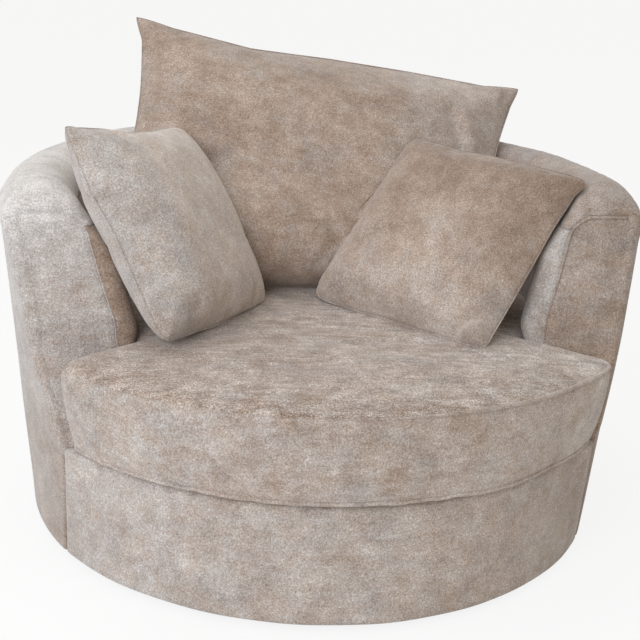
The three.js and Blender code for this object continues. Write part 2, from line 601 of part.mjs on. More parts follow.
// The seat-level ring, wider at the sides and back, with the spring clips fixed to it.
function deckRing() {
  const front = ring(FRAME_RADIUS, DECK_RING_INNER, DECK_RING_BOTTOM, DECK_RING_TOP, FRAME_STEPS);
  const rearRadius = outerRadius(DECK_RING_BOTTOM) - POST_INSET;
  const rear = ring(rearRadius, DECK_RING_INNER, DECK_RING_BOTTOM, DECK_RING_TOP, FRAME_STEPS);
  let solid = front.add(rear.subtract(frontOpening(0, GAP)));
  const slot = WIRE_RADIUS + GAP;
  for (const x of springPlaces()) {
    for (const sign of [-1, 1]) {
      const end = springHalfLength(x) + GAP;
      const near = end - CLIP_LENGTH / 2;
      const far = end + CLIP_LENGTH / 2;
      const across = [x - CLIP_WIDTH / 2, x + CLIP_WIDTH / 2];
      const along = sign > 0 ? [near, far] : [-far, -near];
      const slotAlong = sign > 0 ? [near - GAP, end] : [-end, -near + GAP];
      const clip = block(across, along, [DECK_RING_TOP - GAP, DECK_RING_TOP + CLIP_HEIGHT]);
      const tunnel = block([x - slot, x + slot], slotAlong, [WIRE_HEIGHT - slot, WIRE_HEIGHT + slot]);
      solid = solid.add(clip).subtract(tunnel);
    }
  }
  return solid;
}

// One sinuous spring: a flat zigzag of wire with round turns and a straight tail at each end.
class SpringPath extends THREE.Curve {
  constructor(x) {
    super();
    this.x = x;
    this.half = springHalfLength(x);
    this.turns = 2 * Math.round((this.half - SPRING_TAIL) / SPRING_HALF_PITCH);
  }
  getPoint(t, target = new THREE.Vector3()) {
    const y = -this.half + 2 * this.half * t;
    const wave = this.half - SPRING_TAIL;
    const rise = SPRING_RISE * Math.max(0, 1 - (y / wave) ** 2);
    if (Math.abs(y) >= wave) return target.set(this.x, y, WIRE_HEIGHT);
    const phase = ((y + wave) / (2 * wave)) * this.turns * Math.PI;
    const bulge = Math.sin(2 * phase) * SPRING_HALF_PITCH * SPRING_BULGE_SHARE;
    return target.set(this.x + SPRING_AMPLITUDE * Math.sin(phase), y - bulge, WIRE_HEIGHT + rise);
  }
}

function makeSprings() {
  const wire = new THREE.Shape(Array.from({ length: WIRE_SIDES }, (_, i) => {
    const angle = (i * Math.PI * 2) / WIRE_SIDES;
    return new THREE.Vector2(WIRE_RADIUS * Math.cos(angle), WIRE_RADIUS * Math.sin(angle));
  }));
  springPlaces().forEach((x, i) => {
    const path = new SpringPath(x);
    const steps = path.turns * WIRE_STEPS + 2 * TAIL_STEPS;
    const options = { steps, extrudePath: path, bevelEnabled: false };
    addPiece(`seat_spring_${i + 1}`, toSolid(new THREE.ExtrudeGeometry(wire, options)), STEEL);
  });
}

// A sheet over the seat deck: round inside the barrel, and wider in front of the arms.
function deckSheet(rearRadius, bottom, top) {
  const rear = revolve([[0, bottom], [rearRadius, bottom], [rearRadius, top], [0, top]]);
  const front = revolve([[0, bottom], [DECK_FRONT_RADIUS, bottom], [DECK_FRONT_RADIUS, top], [0, top]]);
  return rear.add(front.intersect(spaceBeforeFacing(GAP)));
}

function makeDeck() {
  const rearRadius = innerRadius(DECK_PAD_BOTTOM) - GAP;
  addPiece("deck_pad", deckSheet(rearRadius, DECK_PAD_BOTTOM, DECK_PAD_TOP), FELT_GREY);
  addPiece("deck_cloth", deckSheet(rearRadius, DECK_CLOTH_BOTTOM, DECK_HEIGHT), BLACK_CLOTH);
  const dustTop = BOTTOM_RING_BOTTOM - GAP;
  addPiece("dust_cover",
    ring(FRAME_RADIUS, BOTTOM_RING_INNER, dustTop - DUST_COVER, dustTop, FRAME_STEPS), BLACK_CLOTH);
}

// Upholstery

function makeBoards() {
  const foot = HEM_HEIGHT + COVER + GAP;
  const top = RIM_RAIL_TOP;
  const inset = BOARD_INSET;
  const bent = revolve([
    [outerRadius(foot) - inset - BOARD, foot],
    [outerRadius(foot) - inset, foot],
    [outerRadius(top) - inset, top],
    [outerRadius(top) - inset - BOARD, top],
  ]);
  addPiece("outer_board", bent.subtract(frontOpening(-COVER - FACING_BOARD - 2 * GAP, GAP / 2)), HARDBOARD);

  const front = ring(HEM_RADIUS - inset, HEM_RADIUS - inset - BOARD, foot, DECK_CLOTH_BOTTOM - GAP);
  addPiece("front_board", front.intersect(borderBlock()), HARDBOARD);
}

function borderBlock() {
  const reach = SEAM_HALF_WIDTH - GAP / 2;
  return block([-reach, reach], [-FAR, 0], ALL);
}

function makeFoam() {
  const behindFacing = spaceBeforeFacing(-COVER - FACING_BOARD - 2 * GAP);
  const foot = DECK_RING_TOP + GAP;
  const top = RIM_RAIL_TOP;
  const postFace = (z) => outerRadius(z) - POST_INSET - POST_STAND_OFF - POST_DEPTH - GAP;
  const inset = COVER + GAP;
  const wall = revolve([
    [innerRadius(foot) + inset, foot],
    [postFace(foot), foot],
    [postFace(top), top],
    [innerRadius(top) + inset, top],
  ]);
  addPiece("barrel_foam", wall.subtract(behindFacing).subtract(armEdges(-inset)), FOAM);

  const flat = top + GAP;
  const roll = revolve([
    [outerRadius(flat) - inset, flat],
    ...rollArc(inset, 0, 180),
    [innerRadius(flat) + inset, flat],
  ]);
  addPiece("rim_foam", roll.subtract(openingAbove(DECK_HEIGHT, -inset)), FOAM);
}

// The arm and back covers are one skin, parted at the facing seams and along the roll.
function makeCovers() {
  const hemTop = HEM_HEIGHT + COVER;
  const body = barrelSection(0, HEM_HEIGHT).subtract(frontOpening(0, GAP / 2));
  const hollow = barrelSection(COVER, hemTop).subtract(openingAbove(DECK_HEIGHT, -COVER));
  const underside = ring(outerRadius(HEM_HEIGHT) - HEM_RETURN, 0, -FAR, DECK_RING_TOP + GAP);
  const skin = body.subtract(hollow).subtract(underside);

  const facingZone = (gap) => {
    const high = block(ALL, ALL, [FACING_TOP_HEIGHT + gap, FAR]);
    const low = block(ALL, ALL, [-FAR, DECK_HEIGHT + GAP - gap]);
    return spaceBeforeFacing(-COVER - gap).subtract(high).subtract(low);
  };
  const innerZone = (gap) => {
    const radius = ROLL_CENTRE_RADIUS - ROLL_RADIUS / 2 + gap;
    return cylinder(radius, -FAR, ROLL_AXIS_HEIGHT - GAP + gap, TURN_STEPS);
  };
  addPiece("outer_cover", skin.subtract(facingZone(GAP)).subtract(innerZone(GAP)), FABRIC);
  addPiece("inner_cover", skin.intersect(innerZone(0)).subtract(facingZone(GAP)), FABRIC);

  const behindFacing = spaceBeforeFacing(-COVER - GAP);
  const boardFace = spaceBeforeFacing(-COVER - GAP - FACING_BOARD);
  const besideFoot = ring(FAR, DECK_FRONT_RADIUS, -FAR, DECK_HEIGHT + GAP);
  const underRoll = block(ALL, ALL, [DECK_RING_TOP + GAP, RIM_RAIL_TOP]);
  const core = barrelSection(COVER + GAP, DECK_RING_TOP + GAP).intersect(underRoll);
  const blank = core.intersect(boardFace).subtract(behindFacing).subtract(besideFoot);
  const boards = blank.subtract(armEdges(-COVER - GAP));
  for (const [name, sign] of [["left", -1], ["right", 1]]) {
    addPiece(`${name}_facing_cover`, skin.intersect(facingZone(0)).intersect(half(sign)), FABRIC);
    addPiece(`${name}_facing_board`, boards.intersect(half(sign)), PLYWOOD);
  }

  const border = revolve([
    [HEM_RADIUS - HEM_RETURN, HEM_HEIGHT],
    [HEM_RADIUS, HEM_HEIGHT],
    [HEM_RADIUS, DECK_HEIGHT],
    [DECK_FRONT_RADIUS + GAP, DECK_HEIGHT],
    [DECK_FRONT_RADIUS + GAP, DECK_CLOTH_BOTTOM],
    [HEM_RADIUS - COVER, DECK_CLOTH_BOTTOM],
    [HEM_RADIUS - COVER, hemTop],
    [HEM_RADIUS - HEM_RETURN, hemTop],
  ]);
  addPiece("front_border_cover", border.intersect(borderBlock()), FABRIC);
}

// Seat cushion

// The plan outline, shrunk by an inset: the barrel's inner wall behind, and wings that
// reach out in front of the arms. A tuck draws the wings' tips in.
function seatOutline(inset, tuck) {
  const rear = innerRadius(SEAT_TOP) - inset;
  const wing = SEAT_WING_ANGLE;
  const front = (angle) => {
    const along = Math.cos(radians(angle)) * SEAT_FRONT_CENTRE;
    const across = Math.sin(radians(angle)) * SEAT_FRONT_CENTRE;
    const drawn = tuck * ((180 - angle) / (180 - wing)) ** 2;
    return along + Math.sqrt((SEAT_FRONT_RADIUS - inset) ** 2 - across ** 2) - drawn;
  };
  const half = [];
  for (let i = 0; i <= SEAT_REAR_STEPS / 2; i += 1) half.push([(wing * 2 * i) / SEAT_REAR_STEPS, rear]);
  for (const [turnShare, share] of SEAT_TIP_SHARES) {
    half.push([wing + SEAT_TIP_TURN * turnShare, rear + (front(wing) - rear) * share]);
  }
  const start = wing + SEAT_TIP_TURN;
  for (let i = 0; i <= SEAT_FRONT_STEPS / 2; i += 1) {
    const angle = start + ((180 - start) * 2 * i) / SEAT_FRONT_STEPS;
    half.push([angle, front(angle)]);
  }
  const other = half.slice(1, -1).reverse().map(([angle, radius]) => [360 - angle, radius]);
  return [...half, ...other].map(([angle, radius]) => [
    radius * Math.sin(radians(angle)),
    radius * Math.cos(radians(angle)),
  ]);
}

// The cushion from its underside to its crown, through the rings of SEAT_RING_SHARES.
function seatForm(inset) {
  const bottom = SEAT_BOTTOM + inset;
  const top = SEAT_TOP - inset;
  const rings = SEAT_RING_SHARES.map(([planShare, wallShare, crownShare, tuckShare]) => ({
    outline: seatOutline(inset, SEAT_TIP_TUCK * tuckShare),
    scale: planShare,
    z: bottom + (top - bottom) * wallShare + SEAT_CROWN * crownShare,
  }));
  return stackedForm(rings, [0, -SEAT_FRONT_CENTRE], bottom, top + SEAT_CROWN);
}

// A closed surface through rings of alike outlines, with a centre point at each end.
function stackedForm(rings, [cx, cy], bottom, top) {
  const count = rings[0].outline.length;
  const points = [cx, cy, bottom];
  for (const { outline, scale, z } of rings) {
    for (const [x, y] of outline) points.push(cx + (x - cx) * scale, cy + (y - cy) * scale, z);
  }
  points.push(cx, cy, top);
  const last = points.length / 3 - 1;
  const topRing = 1 + (rings.length - 1) * count;
  const index = [];
  for (let i = 0; i < count; i += 1) {
    const next = (i + 1) % count;
    index.push(0, 1 + i, 1 + next);
    for (let a = 1; a < topRing; a += count) {
      const b = a + count;
      index.push(a + i, b + i, b + next, a + i, b + next, a + next);
    }
    index.push(last, topRing + next, topRing + i);
  }
  return closedSolid(points, index);
}

function closedSolid(points, index) {
  const geometry = new THREE.BufferGeometry();
  geometry.setAttribute("position", new THREE.BufferAttribute(new Float32Array(points), 3));
  geometry.setIndex(index);
  const solid = toSolid(geometry);
  return solid.volume() > 0 ? solid : toSolid(reversed(geometry));
}

// The room that arms and back leave to the seat cushion, with some clearance.
function seatRoomLimit(clearance) {
  return barrelSection(-clearance, DECK_HEIGHT - clearance).subtract(spaceBeforeFacing(clearance));
}

function makeSeatCushion() {
  const outside = seatForm(0).subtract(seatRoomLimit(SEAT_CLEARANCE));
  const hollow = seatForm(COVER).subtract(seatRoomLimit(SEAT_CLEARANCE + COVER));
  const core = seatForm(COVER + GAP).subtract(seatRoomLimit(SEAT_CLEARANCE + COVER + GAP));
  const middle = (SEAT_BOTTOM + SEAT_TOP) / 2;
  const zipReach = SEAT_ZIP_LENGTH / 2;
  const slot = (gap) =>
    block([-zipReach + gap, zipReach - gap], [0, FAR], [middle - COVER + gap, middle + COVER - gap]);
  const wall = outside.subtract(hollow);
  addPiece("seat_cushion_cover", wall.subtract(slot(0)), FABRIC);
  addPiece("seat_cushion_zip", wall.intersect(slot(GAP)), ZIP);
  addPiece("seat_cushion_core", core, FOAM);
}

// Loose cushions

// A knife-edge cushion between four corners: crowned both ways, its sides drawn in between
// the corners. An inset shrinks it, and it lies flat where it rests on the seat cushion.
function pillow({ corners: quad, thickness, steps, drawnInShares, slumpShare }, inset) {
  const [sidesIn, endsIn] = drawnInShares;
  const [tl, tr, br, bl] = quad.map((p) => new THREE.Vector3(...p));
  const middle = tl.clone().add(tr).add(br).add(bl).divideScalar(4);
  const across = tr.clone().add(br).sub(tl).sub(bl);
  const up = tl.clone().add(tr).sub(bl).sub(br);
  const normal = across.cross(up).normalize();
  const at = (u, v, face) => {
    const a = 2 * u - 1;
    const b = 2 * v - 1;
    const acrossShare = (1 + a * (1 - sidesIn * (1 - b * b))) / 2;
    const upShare = (1 + b * (1 - endsIn * (1 - a * a))) / 2;
    const low = bl.clone().lerp(br, acrossShare);
    const point = low.lerp(tl.clone().lerp(tr, acrossShare), upShare);
    const crown = ((1 - a * a) * (1 - b * b)) ** PILLOW_CROWN_POWER * (1 - slumpShare * b);
    point.addScaledVector(normal, (face * crown * thickness) / 2);
    return point.sub(middle).multiplyScalar(1 - (2 * inset) / thickness).add(middle);
  };
  return sewnSolid(steps, at).subtract(seatForm(-GAP - inset));
}

// Two faces of a grid that share their border, from a function of (u, v, face).
function sewnSolid([nu, nv], at) {
  const points = [];
  const ids = new Map();
  const id = (i, j, face) => {
    const edge = i === 0 || j === 0 || i === nu || j === nv;
    const key = `${i},${j},${edge ? 0 : face}`;
    if (!ids.has(key)) {
      ids.set(key, points.length / 3);
      points.push(...at(i / nu, j / nv, face).toArray());
    }
    return ids.get(key);
  };
  const index = [];
  for (const face of [-1, 1]) {
    for (let i = 0; i < nu; i += 1) {
      for (let j = 0; j < nv; j += 1) {
        const cell = [id(i, j, face), id(i + 1, j, face), id(i + 1, j + 1, face), id(i, j + 1, face)];
        // Each diagonal points at the nearest corner, so that no corner is cut off.
        if (i < nu / 2 !== j < nv / 2) cell.push(cell.shift());
        const [a, b, c, d] = cell;
        index.push(...(face > 0 ? [a, b, c, a, c, d] : [a, c, b, a, d, c]));
      }
    }
  }
  return closedSolid(points, index);
}

// Corner places from shares of the chair's radius, counted from the seat's top seam.
const placed = (shares) =>
  shares.map(([x, y, z]) => [x * CHAIR_RADIUS, y * CHAIR_RADIUS, SEAT_TOP + z * CHAIR_RADIUS]);

function makeLooseCushion(name, form) {
  const wall = pillow(form, 0).subtract(pillow(form, CUSHION_COVER));
  addPiece(`${name}_cover`, wall.subtract(zipSlit(form.corners)), FABRIC);
  addPiece(`${name}_pad`, pillow(form, CUSHION_COVER + GAP), WADDING);
}

// A thin slit through the seam of a cushion's bottom edge.
function zipSlit(quad) {
  const [tl, tr, br, bl] = quad.map((p) => new THREE.Vector3(...p));
  const right = br.clone().sub(bl);
  const up = tl.clone().add(tr).sub(bl).sub(br).divideScalar(2);
  const normal = right.clone().cross(up).normalize();
  const inPlane = normal.clone().cross(right).normalize();
  const length = right.length() * SLIT_LENGTH_SHARE;
  const depth = up.length() * SLIT_DEPTH_SHARE;
  const slit = new THREE.BoxGeometry(length, depth, SLIT);
  slit.applyMatrix4(new THREE.Matrix4().makeBasis(right.normalize(), inPlane, normal));
  const centre = bl.clone().add(br).divideScalar(2);
  return toSolid(slit.translate(centre.x, centre.y, centre.z));
}

function makeLooseCushions() {
  makeLooseCushion("back_cushion", {
    corners: placed(BACK_CORNER_SHARES),
    thickness: BACK_THICKNESS,
    steps: BACK_CUSHION_STEPS,
    drawnInShares: BACK_DRAWN_IN_SHARES,
    slumpShare: BACK_SLUMP_SHARE,
  });
  const scatters = { left_scatter: LEFT_CORNER_SHARES, right_scatter: RIGHT_CORNER_SHARES };
  for (const [name, shares] of Object.entries(scatters)) {
    makeLooseCushion(name, {
      corners: placed(shares),
      thickness: SCATTER_THICKNESS,
      steps: SCATTER_STEPS,
      drawnInShares: SCATTER_DRAWN_IN_SHARES,
      slumpShare: 0,
    });
  }
}

makeFloorBase();
makeSwivel();
makeFrame();
makeSprings();
makeDeck();
makeBoards();
makeFoam();
makeCovers();
makeSeatCushion();
makeLooseCushions();

export default group;
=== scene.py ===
# A round swivel cuddle chair in crushed chenille, dressed round its CAD frame.
# Metres. The chair faces -Y, stands on z = 0 and turns about the Z axis.
import json
import math

import bpy
import numpy as np
from mathutils import Matrix, Vector, noise
from mathutils.bvhtree import BVHTree


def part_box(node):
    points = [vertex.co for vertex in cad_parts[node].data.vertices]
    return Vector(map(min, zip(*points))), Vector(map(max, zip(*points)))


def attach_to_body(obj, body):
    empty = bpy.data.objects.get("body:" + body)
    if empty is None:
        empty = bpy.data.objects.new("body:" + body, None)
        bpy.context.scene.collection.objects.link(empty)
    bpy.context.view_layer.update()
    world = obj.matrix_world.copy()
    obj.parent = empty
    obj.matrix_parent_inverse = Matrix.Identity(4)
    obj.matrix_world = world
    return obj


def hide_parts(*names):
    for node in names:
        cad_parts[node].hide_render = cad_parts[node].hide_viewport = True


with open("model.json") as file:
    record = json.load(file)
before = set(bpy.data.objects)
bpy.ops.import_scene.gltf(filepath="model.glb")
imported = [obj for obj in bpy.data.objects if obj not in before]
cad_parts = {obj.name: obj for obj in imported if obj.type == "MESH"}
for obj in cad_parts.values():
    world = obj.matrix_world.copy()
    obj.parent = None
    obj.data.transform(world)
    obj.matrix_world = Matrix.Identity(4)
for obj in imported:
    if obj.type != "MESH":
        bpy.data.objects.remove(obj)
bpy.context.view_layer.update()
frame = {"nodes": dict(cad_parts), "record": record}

# Sizes that the frame gives
COVER_LOW, COVER_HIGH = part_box("outer_cover")
CHAIR_RADIUS = COVER_HIGH.x
HEM_HEIGHT = COVER_LOW.z
DECK_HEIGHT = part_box("deck_cloth")[1].z
SEAM_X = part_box("front_border_cover")[1].x
FACING_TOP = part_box("right_facing_cover")[1].z
INNER_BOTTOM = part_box("inner_cover")[0].z
SEAT_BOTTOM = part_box("seat_cushion_cover")[0].z

# Sizes of the barrel, as in the CAD source
HEM_RADIUS = 0.568
ROLL_RADIUS = 0.070
ROLL_HEIGHT = COVER_HIGH.z - ROLL_RADIUS
ROLL_CENTRE = CHAIR_RADIUS - ROLL_RADIUS
INNER_TOP_RADIUS = ROLL_CENTRE - ROLL_RADIUS
INNER_FOOT_RADIUS = 0.434
FACING_SETBACK = 0.156  # of the facing's top edge, in front of the swivel axis
FACING_SLOPE = math.tan(math.radians(21.3))
ARM_END_RADIUS = 0.078
SHEET = 0.003  # cloth with its backing
DECK_FRONT_RADIUS = 0.555
BOTTOM_RING_INNER = 0.365

# Sizes of the seat cushion, as in the CAD source
SEAT_THICKNESS = 0.163
SEAT_TOP = SEAT_BOTTOM + SEAT_THICKNESS
SEAT_CROWN = 0.020
SEAT_FRONT_RADIUS = 0.655
SEAT_FRONT_CENTRE = 0.070
SEAT_WING_ANGLE = 122.5
SEAT_TIP_TURN = 5.0
SEAT_TIP_TUCK = 0.034
SEAT_TIP_ROUND = 2.2  # powers of the wing tip's rounding, along it and outwards
SEAT_TIP_OUT = 1.25
SEAT_TIP_BEND = 2.6  # and of its turn

# The photograph's view
CAMERA_AZIMUTH = -9.03
CAMERA_ELEVATION = 18.55
CAMERA_ROLL = 2.76
CAMERA_DISTANCE = 2.7039
CAMERA_TARGET = (0.00688, 0.0, 0.37957)
CAMERA_FOCAL_PIXELS = 1327
IMAGE_PIXELS = 640
SENSOR = 36.0

# Lamps: name, place, power and colour
LAMP_AIM = (0, 0, 0.4)
LAMP_SIZE = 2.4
LAMPS = (
    ("key", (-1.9, -3.1, 2.3), 70, (0.87, 0.92, 1.0)),
    ("side", (-3.0, -1.0, 2.9), 18, (0.95, 0.97, 1.0)),
    ("top", (-0.8, 0.7, 3.6), 26, (0.98, 0.98, 1.0)),
)
AMBIENT_STRENGTH = 0.50
AMBIENT_COLOUR = (1.0, 0.955, 0.87, 1)
WHITE = (1, 1, 1, 1)
FLOOR_COLOUR = (0.9, 0.9, 0.9, 1)
FLOOR_REACH = 40.0
FLOOR_SHOWN_WHITE = 0.86  # the rest of the floor's look is lit, so that it keeps the shadow


# View, light and floor

def placed(name, data):
    """A new object in the scene that shows the data."""
    made = bpy.data.objects.new(name, data)
    bpy.context.scene.collection.objects.link(made)
    return made


def add_camera():
    azimuth, elevation, roll = map(math.radians, (CAMERA_AZIMUTH, CAMERA_ELEVATION, CAMERA_ROLL))
    back = Vector((math.sin(azimuth) * math.cos(elevation),
                   -math.cos(azimuth) * math.cos(elevation),
                   math.sin(elevation)))
    level = (-back).cross(Vector((0, 0, 1))).normalized()
    upright = level.cross(-back)
    right = math.cos(roll) * level + math.sin(roll) * upright
    up = math.cos(roll) * upright - math.sin(roll) * level
    data = bpy.data.cameras.new("camera")
    data.sensor_width = SENSOR
    data.lens = SENSOR * CAMERA_FOCAL_PIXELS / IMAGE_PIXELS
    camera = placed("camera", data)
    place = Matrix((right, up, back)).transposed().to_4x4()
    place.translation = Vector(CAMERA_TARGET) + back * CAMERA_DISTANCE
    camera.matrix_world = place
    bpy.context.scene.camera = camera


def add_lamp(name, place, power, colour):
    data = bpy.data.lights.new(name, "AREA")
    data.shape = "DISK"
    data.size = LAMP_SIZE
    data.energy = power
    data.color = colour
    lamp = placed(name, data)
    lamp.location = place
    lamp.rotation_euler = (Vector(LAMP_AIM) - Vector(place)).to_track_quat("-Z", "Y").to_euler()


def feed(tree, socket, value):
    """Links a socket to another one, or gives it its number or colour."""
    if isinstance(value, bpy.types.NodeSocket):
        tree.links.new(value, socket)
    else:
        socket.default_value = value


def add_node(tree, kind, *values, named=(), **settings):
    """A new node with its settings. values feed its inputs in order, and named feeds some by name."""
    made = tree.nodes.new(kind)
    for key, value in settings.items():
        setattr(made, key, value)
    for socket, value in zip(made.inputs, values):
        feed(tree, socket, value)
    for key, value in dict(named).items():
        feed(tree, made.inputs[key], value)
    return made


def seen_directly(tree):
    """1 for rays that look at the background, and 0 for those that only light the object."""
    rays = tree.nodes.new("ShaderNodeLightPath").outputs
    result = rays["Is Camera Ray"]
    for kind in ("Is Glossy Ray", "Is Transmission Ray"):
        result = add_node(tree, "ShaderNodeMath", result, rays[kind], operation="MAXIMUM").outputs[0]
    return result


def show_white(owner, lit_kind, lit_values, white_kind, output_kind, share):
    """Lights with one shader, and shows white by a share of the rays that look straight at it."""
    owner.use_nodes = True
    tree = owner.node_tree
    tree.nodes.clear()
    lit = add_node(tree, lit_kind, *lit_values)
    white = add_node(tree, white_kind, WHITE, 1)
    part = add_node(tree, "ShaderNodeMath", seen_directly(tree), share, operation="MULTIPLY")
    mix = add_node(tree, "ShaderNodeMixShader", part.outputs[0], lit.outputs[0], white.outputs[0])
    add_node(tree, output_kind, mix.outputs[0])


def add_world():
    world = bpy.data.worlds.new("studio")
    bpy.context.scene.world = world
    show_white(world, "ShaderNodeBackground", (AMBIENT_COLOUR, AMBIENT_STRENGTH),
               "ShaderNodeBackground", "ShaderNodeOutputWorld", 1.0)


def add_floor():
    reach = FLOOR_REACH
    corners = [(-reach, -reach, 0), (reach, -reach, 0), (reach, reach, 0), (-reach, reach, 0)]
    data = bpy.data.meshes.new("floor")
    data.from_pydata(corners, [], [(0, 1, 2, 3)])
    material = bpy.data.materials.new("floor_white")
    show_white(material, "ShaderNodeBsdfDiffuse", (FLOOR_COLOUR,),
               "ShaderNodeEmission", "ShaderNodeOutputMaterial", FLOOR_SHOWN_WHITE)
    data.materials.append(material)
    placed("floor", data)


# Materials

def linear(red, green, blue):
    """A colour given as it looks on screen, 0 to 255, as the shader's linear value."""
    def channel(value):
        share = value / 255
        return share / 12.92 if share <= 0.04045 else ((share + 0.055) / 1.055) ** 2.4
    return (channel(red), channel(green), channel(blue), 1)


EVEN = (1, 1, 1)
ROLLED = (1, 14, 14)
ALONG_X = (0.12, 1, 1)
ALONG_Z = (1, 1, 0.1)


class Shader:
    """A material, with short ways to add the nodes that feed its surface."""

    def __init__(self, name):
        self.material = bpy.data.materials.new(name)
        self.material.use_nodes = True
        self.tree = self.material.node_tree
        self.place = self.node("ShaderNodeTexCoord").outputs["Object"]

    def node(self, kind, *values, **settings):
        return add_node(self.tree, kind, *values, **settings)

    def mapped(self, scale, turn=(0, 0, 0)):
        radians = [math.radians(angle) for angle in turn]
        turned = self.node("ShaderNodeMapping", self.place, named={"Rotation": radians})
        return self.node("ShaderNodeVectorMath", turned.outputs[0], scale, operation="MULTIPLY").outputs[0]

    def noise(self, vector, scale, detail=3, roughness=0.6):
        """Fractal noise with so many features to the metre."""
        named = {"Scale": scale, "Detail": detail, "Roughness": roughness}
        return self.node("ShaderNodeTexNoise", vector, named=named).outputs["Fac"]

    def wave(self, direction, scale, distortion=0.0):
        named = {"Scale": scale, "Distortion": distortion}
        made = self.node("ShaderNodeTexWave", self.place, named=named, bands_direction=direction)
        return made.outputs["Fac"]

    def math(self, operation, *values):
        return self.node("ShaderNodeMath", *values, operation=operation).outputs[0]

    def total(self, base, terms):
        """base plus each (value, weight), where the value is counted from 0.5."""
        result = base
        for value, weight in terms:
            centred = self.math("SUBTRACT", value, 0.5)
            result = self.math("ADD", self.math("MULTIPLY", centred, weight), result)
        return result

    def ramp(self, value, stops):
        made = self.node("ShaderNodeValToRGB", value)
        elements = made.color_ramp.elements
        while len(elements) < len(stops):
            elements.new(0.5)
        for element, (position, colour) in zip(elements, stops):
            element.position = position
            element.color = colour
        return made.outputs["Color"]

    def bump(self, height, strength, distance):
        named = {"Strength": strength, "Distance": distance, "Height": height}
        return self.node("ShaderNodeBump", named=named).outputs["Normal"]

    def finish(self, **values):
        """Feeds the surface's inputs, and gives the material."""
        for key, value in values.items():
            feed(self.tree, self.tree.nodes["Principled BSDF"].inputs[key.replace("_", " ")], value)
        return self.material


# The pile's colours from its darkest to its lightest tone, where it looks warm and where grey
PILE_STOPS = (0.10, 0.36, 0.50, 0.66, 0.86, 1.0)
WARM_PILE = (linear(134, 113, 98), linear(163, 143, 127), linear(178, 158, 144),
             linear(194, 177, 164), linear(215, 203, 193), linear(238, 229, 221))
COOL_PILE = (linear(128, 117, 110), linear(157, 147, 141), linear(174, 165, 160),
             linear(190, 183, 179), linear(213, 208, 205), linear(236, 232, 229))
PILE_MIDDLE = 0.5
STREAK_STRETCH = (0.22, 1, 1)
PATCH_STRETCH = (1, 1.6, 1.3)
PILE_DEPTH = 0.0016
CLOUD_SHARE = 0.5
MOTTLE_SHARE = 0.75
SPECKLE_SHARE = 1.5
FIBRE_SHARE = 0.7


def chenille(name, turn=(0, 0, 0), silver=0.0, cool=0.45, streak=0.3, grain=1.0, shading_slopes=(), shading_greyness=1.6):
    """Crushed chenille: a short pile that lies in soft patches and streaks, with a fine speckle.
    turn lays the streaks, silver brings more of the light pile up, cool more of the grey pile, and
    streak and grain are the weights of streaks and speckle. silver and cool are partly the pile's own tone
    and partly painted light and shade. The last two arguments paint light and shade: directions along
    which the pile is painted lighter, each with so much to the metre, where along it that begins, and its
    least and most, and how much greyer it is painted with that."""
    shader = Shader(name)
    # Painted light and shade: along each given direction the pile is painted lighter, and greyer or warmer
    # by the given share, standing in for how light falls across the piece.
    painted_shading = 0.0
    for direction, start, least, most in shading_slopes:
        lean = shader.node("ShaderNodeVectorMath", shader.place, direction, operation="DOT_PRODUCT")
        along_shading_slope = shader.math("SUBTRACT", lean.outputs["Value"], start)
        limited = shader.math("MAXIMUM", shader.math("MINIMUM", along_shading_slope, most), least)
        painted_shading = shader.math("ADD", painted_shading, limited)
    flat = shader.mapped(EVEN, turn)
    clouds = shader.noise(flat, scale=7)
    mottle = shader.noise(flat, scale=26, detail=6, roughness=0.74)
    streaks = shader.noise(shader.mapped(STREAK_STRETCH, turn), scale=75, detail=4, roughness=0.72)
    speckle = shader.noise(flat, scale=330, roughness=0.75)
    fibre = shader.noise(flat, scale=850, detail=1, roughness=0.5)
    patches = shader.noise(shader.mapped(PATCH_STRETCH, turn), scale=13, detail=5, roughness=0.7)
    tone = shader.total(shader.math("ADD", painted_shading, PILE_MIDDLE + silver), [
        (clouds, CLOUD_SHARE), (mottle, MOTTLE_SHARE * grain), (streaks, streak),
        (speckle, SPECKLE_SHARE * grain), (fibre, FIBRE_SHARE * grain)])
    greyness = shader.total(shader.math("MULTIPLY_ADD", painted_shading, shading_greyness, cool), [
        (patches, 2.4), (streaks, 0.8), (speckle, 0.8)])
    mixed = shader.node("ShaderNodeMix", greyness, data_type="RGBA", clamp_factor=True)
    for pile, colour_input in ((WARM_PILE, 6), (COOL_PILE, 7)):
        feed(shader.tree, mixed.inputs[colour_input], shader.ramp(tone, list(zip(PILE_STOPS, pile))))
    height = shader.total(0.5, [(speckle, 1.2), (fibre, 0.6), (streaks, 0.5), (mottle, 0.5)])
    return shader.finish(
        Base_Color=mixed.outputs[2],
        Normal=shader.bump(height, strength=0.6, distance=PILE_DEPTH),
        Roughness=shader.total(0.9, [(mottle, -0.25), (speckle, 0.2)]),
        Sheen_Weight=0.45, Sheen_Roughness=0.42, Specular_IOR_Level=0.12)
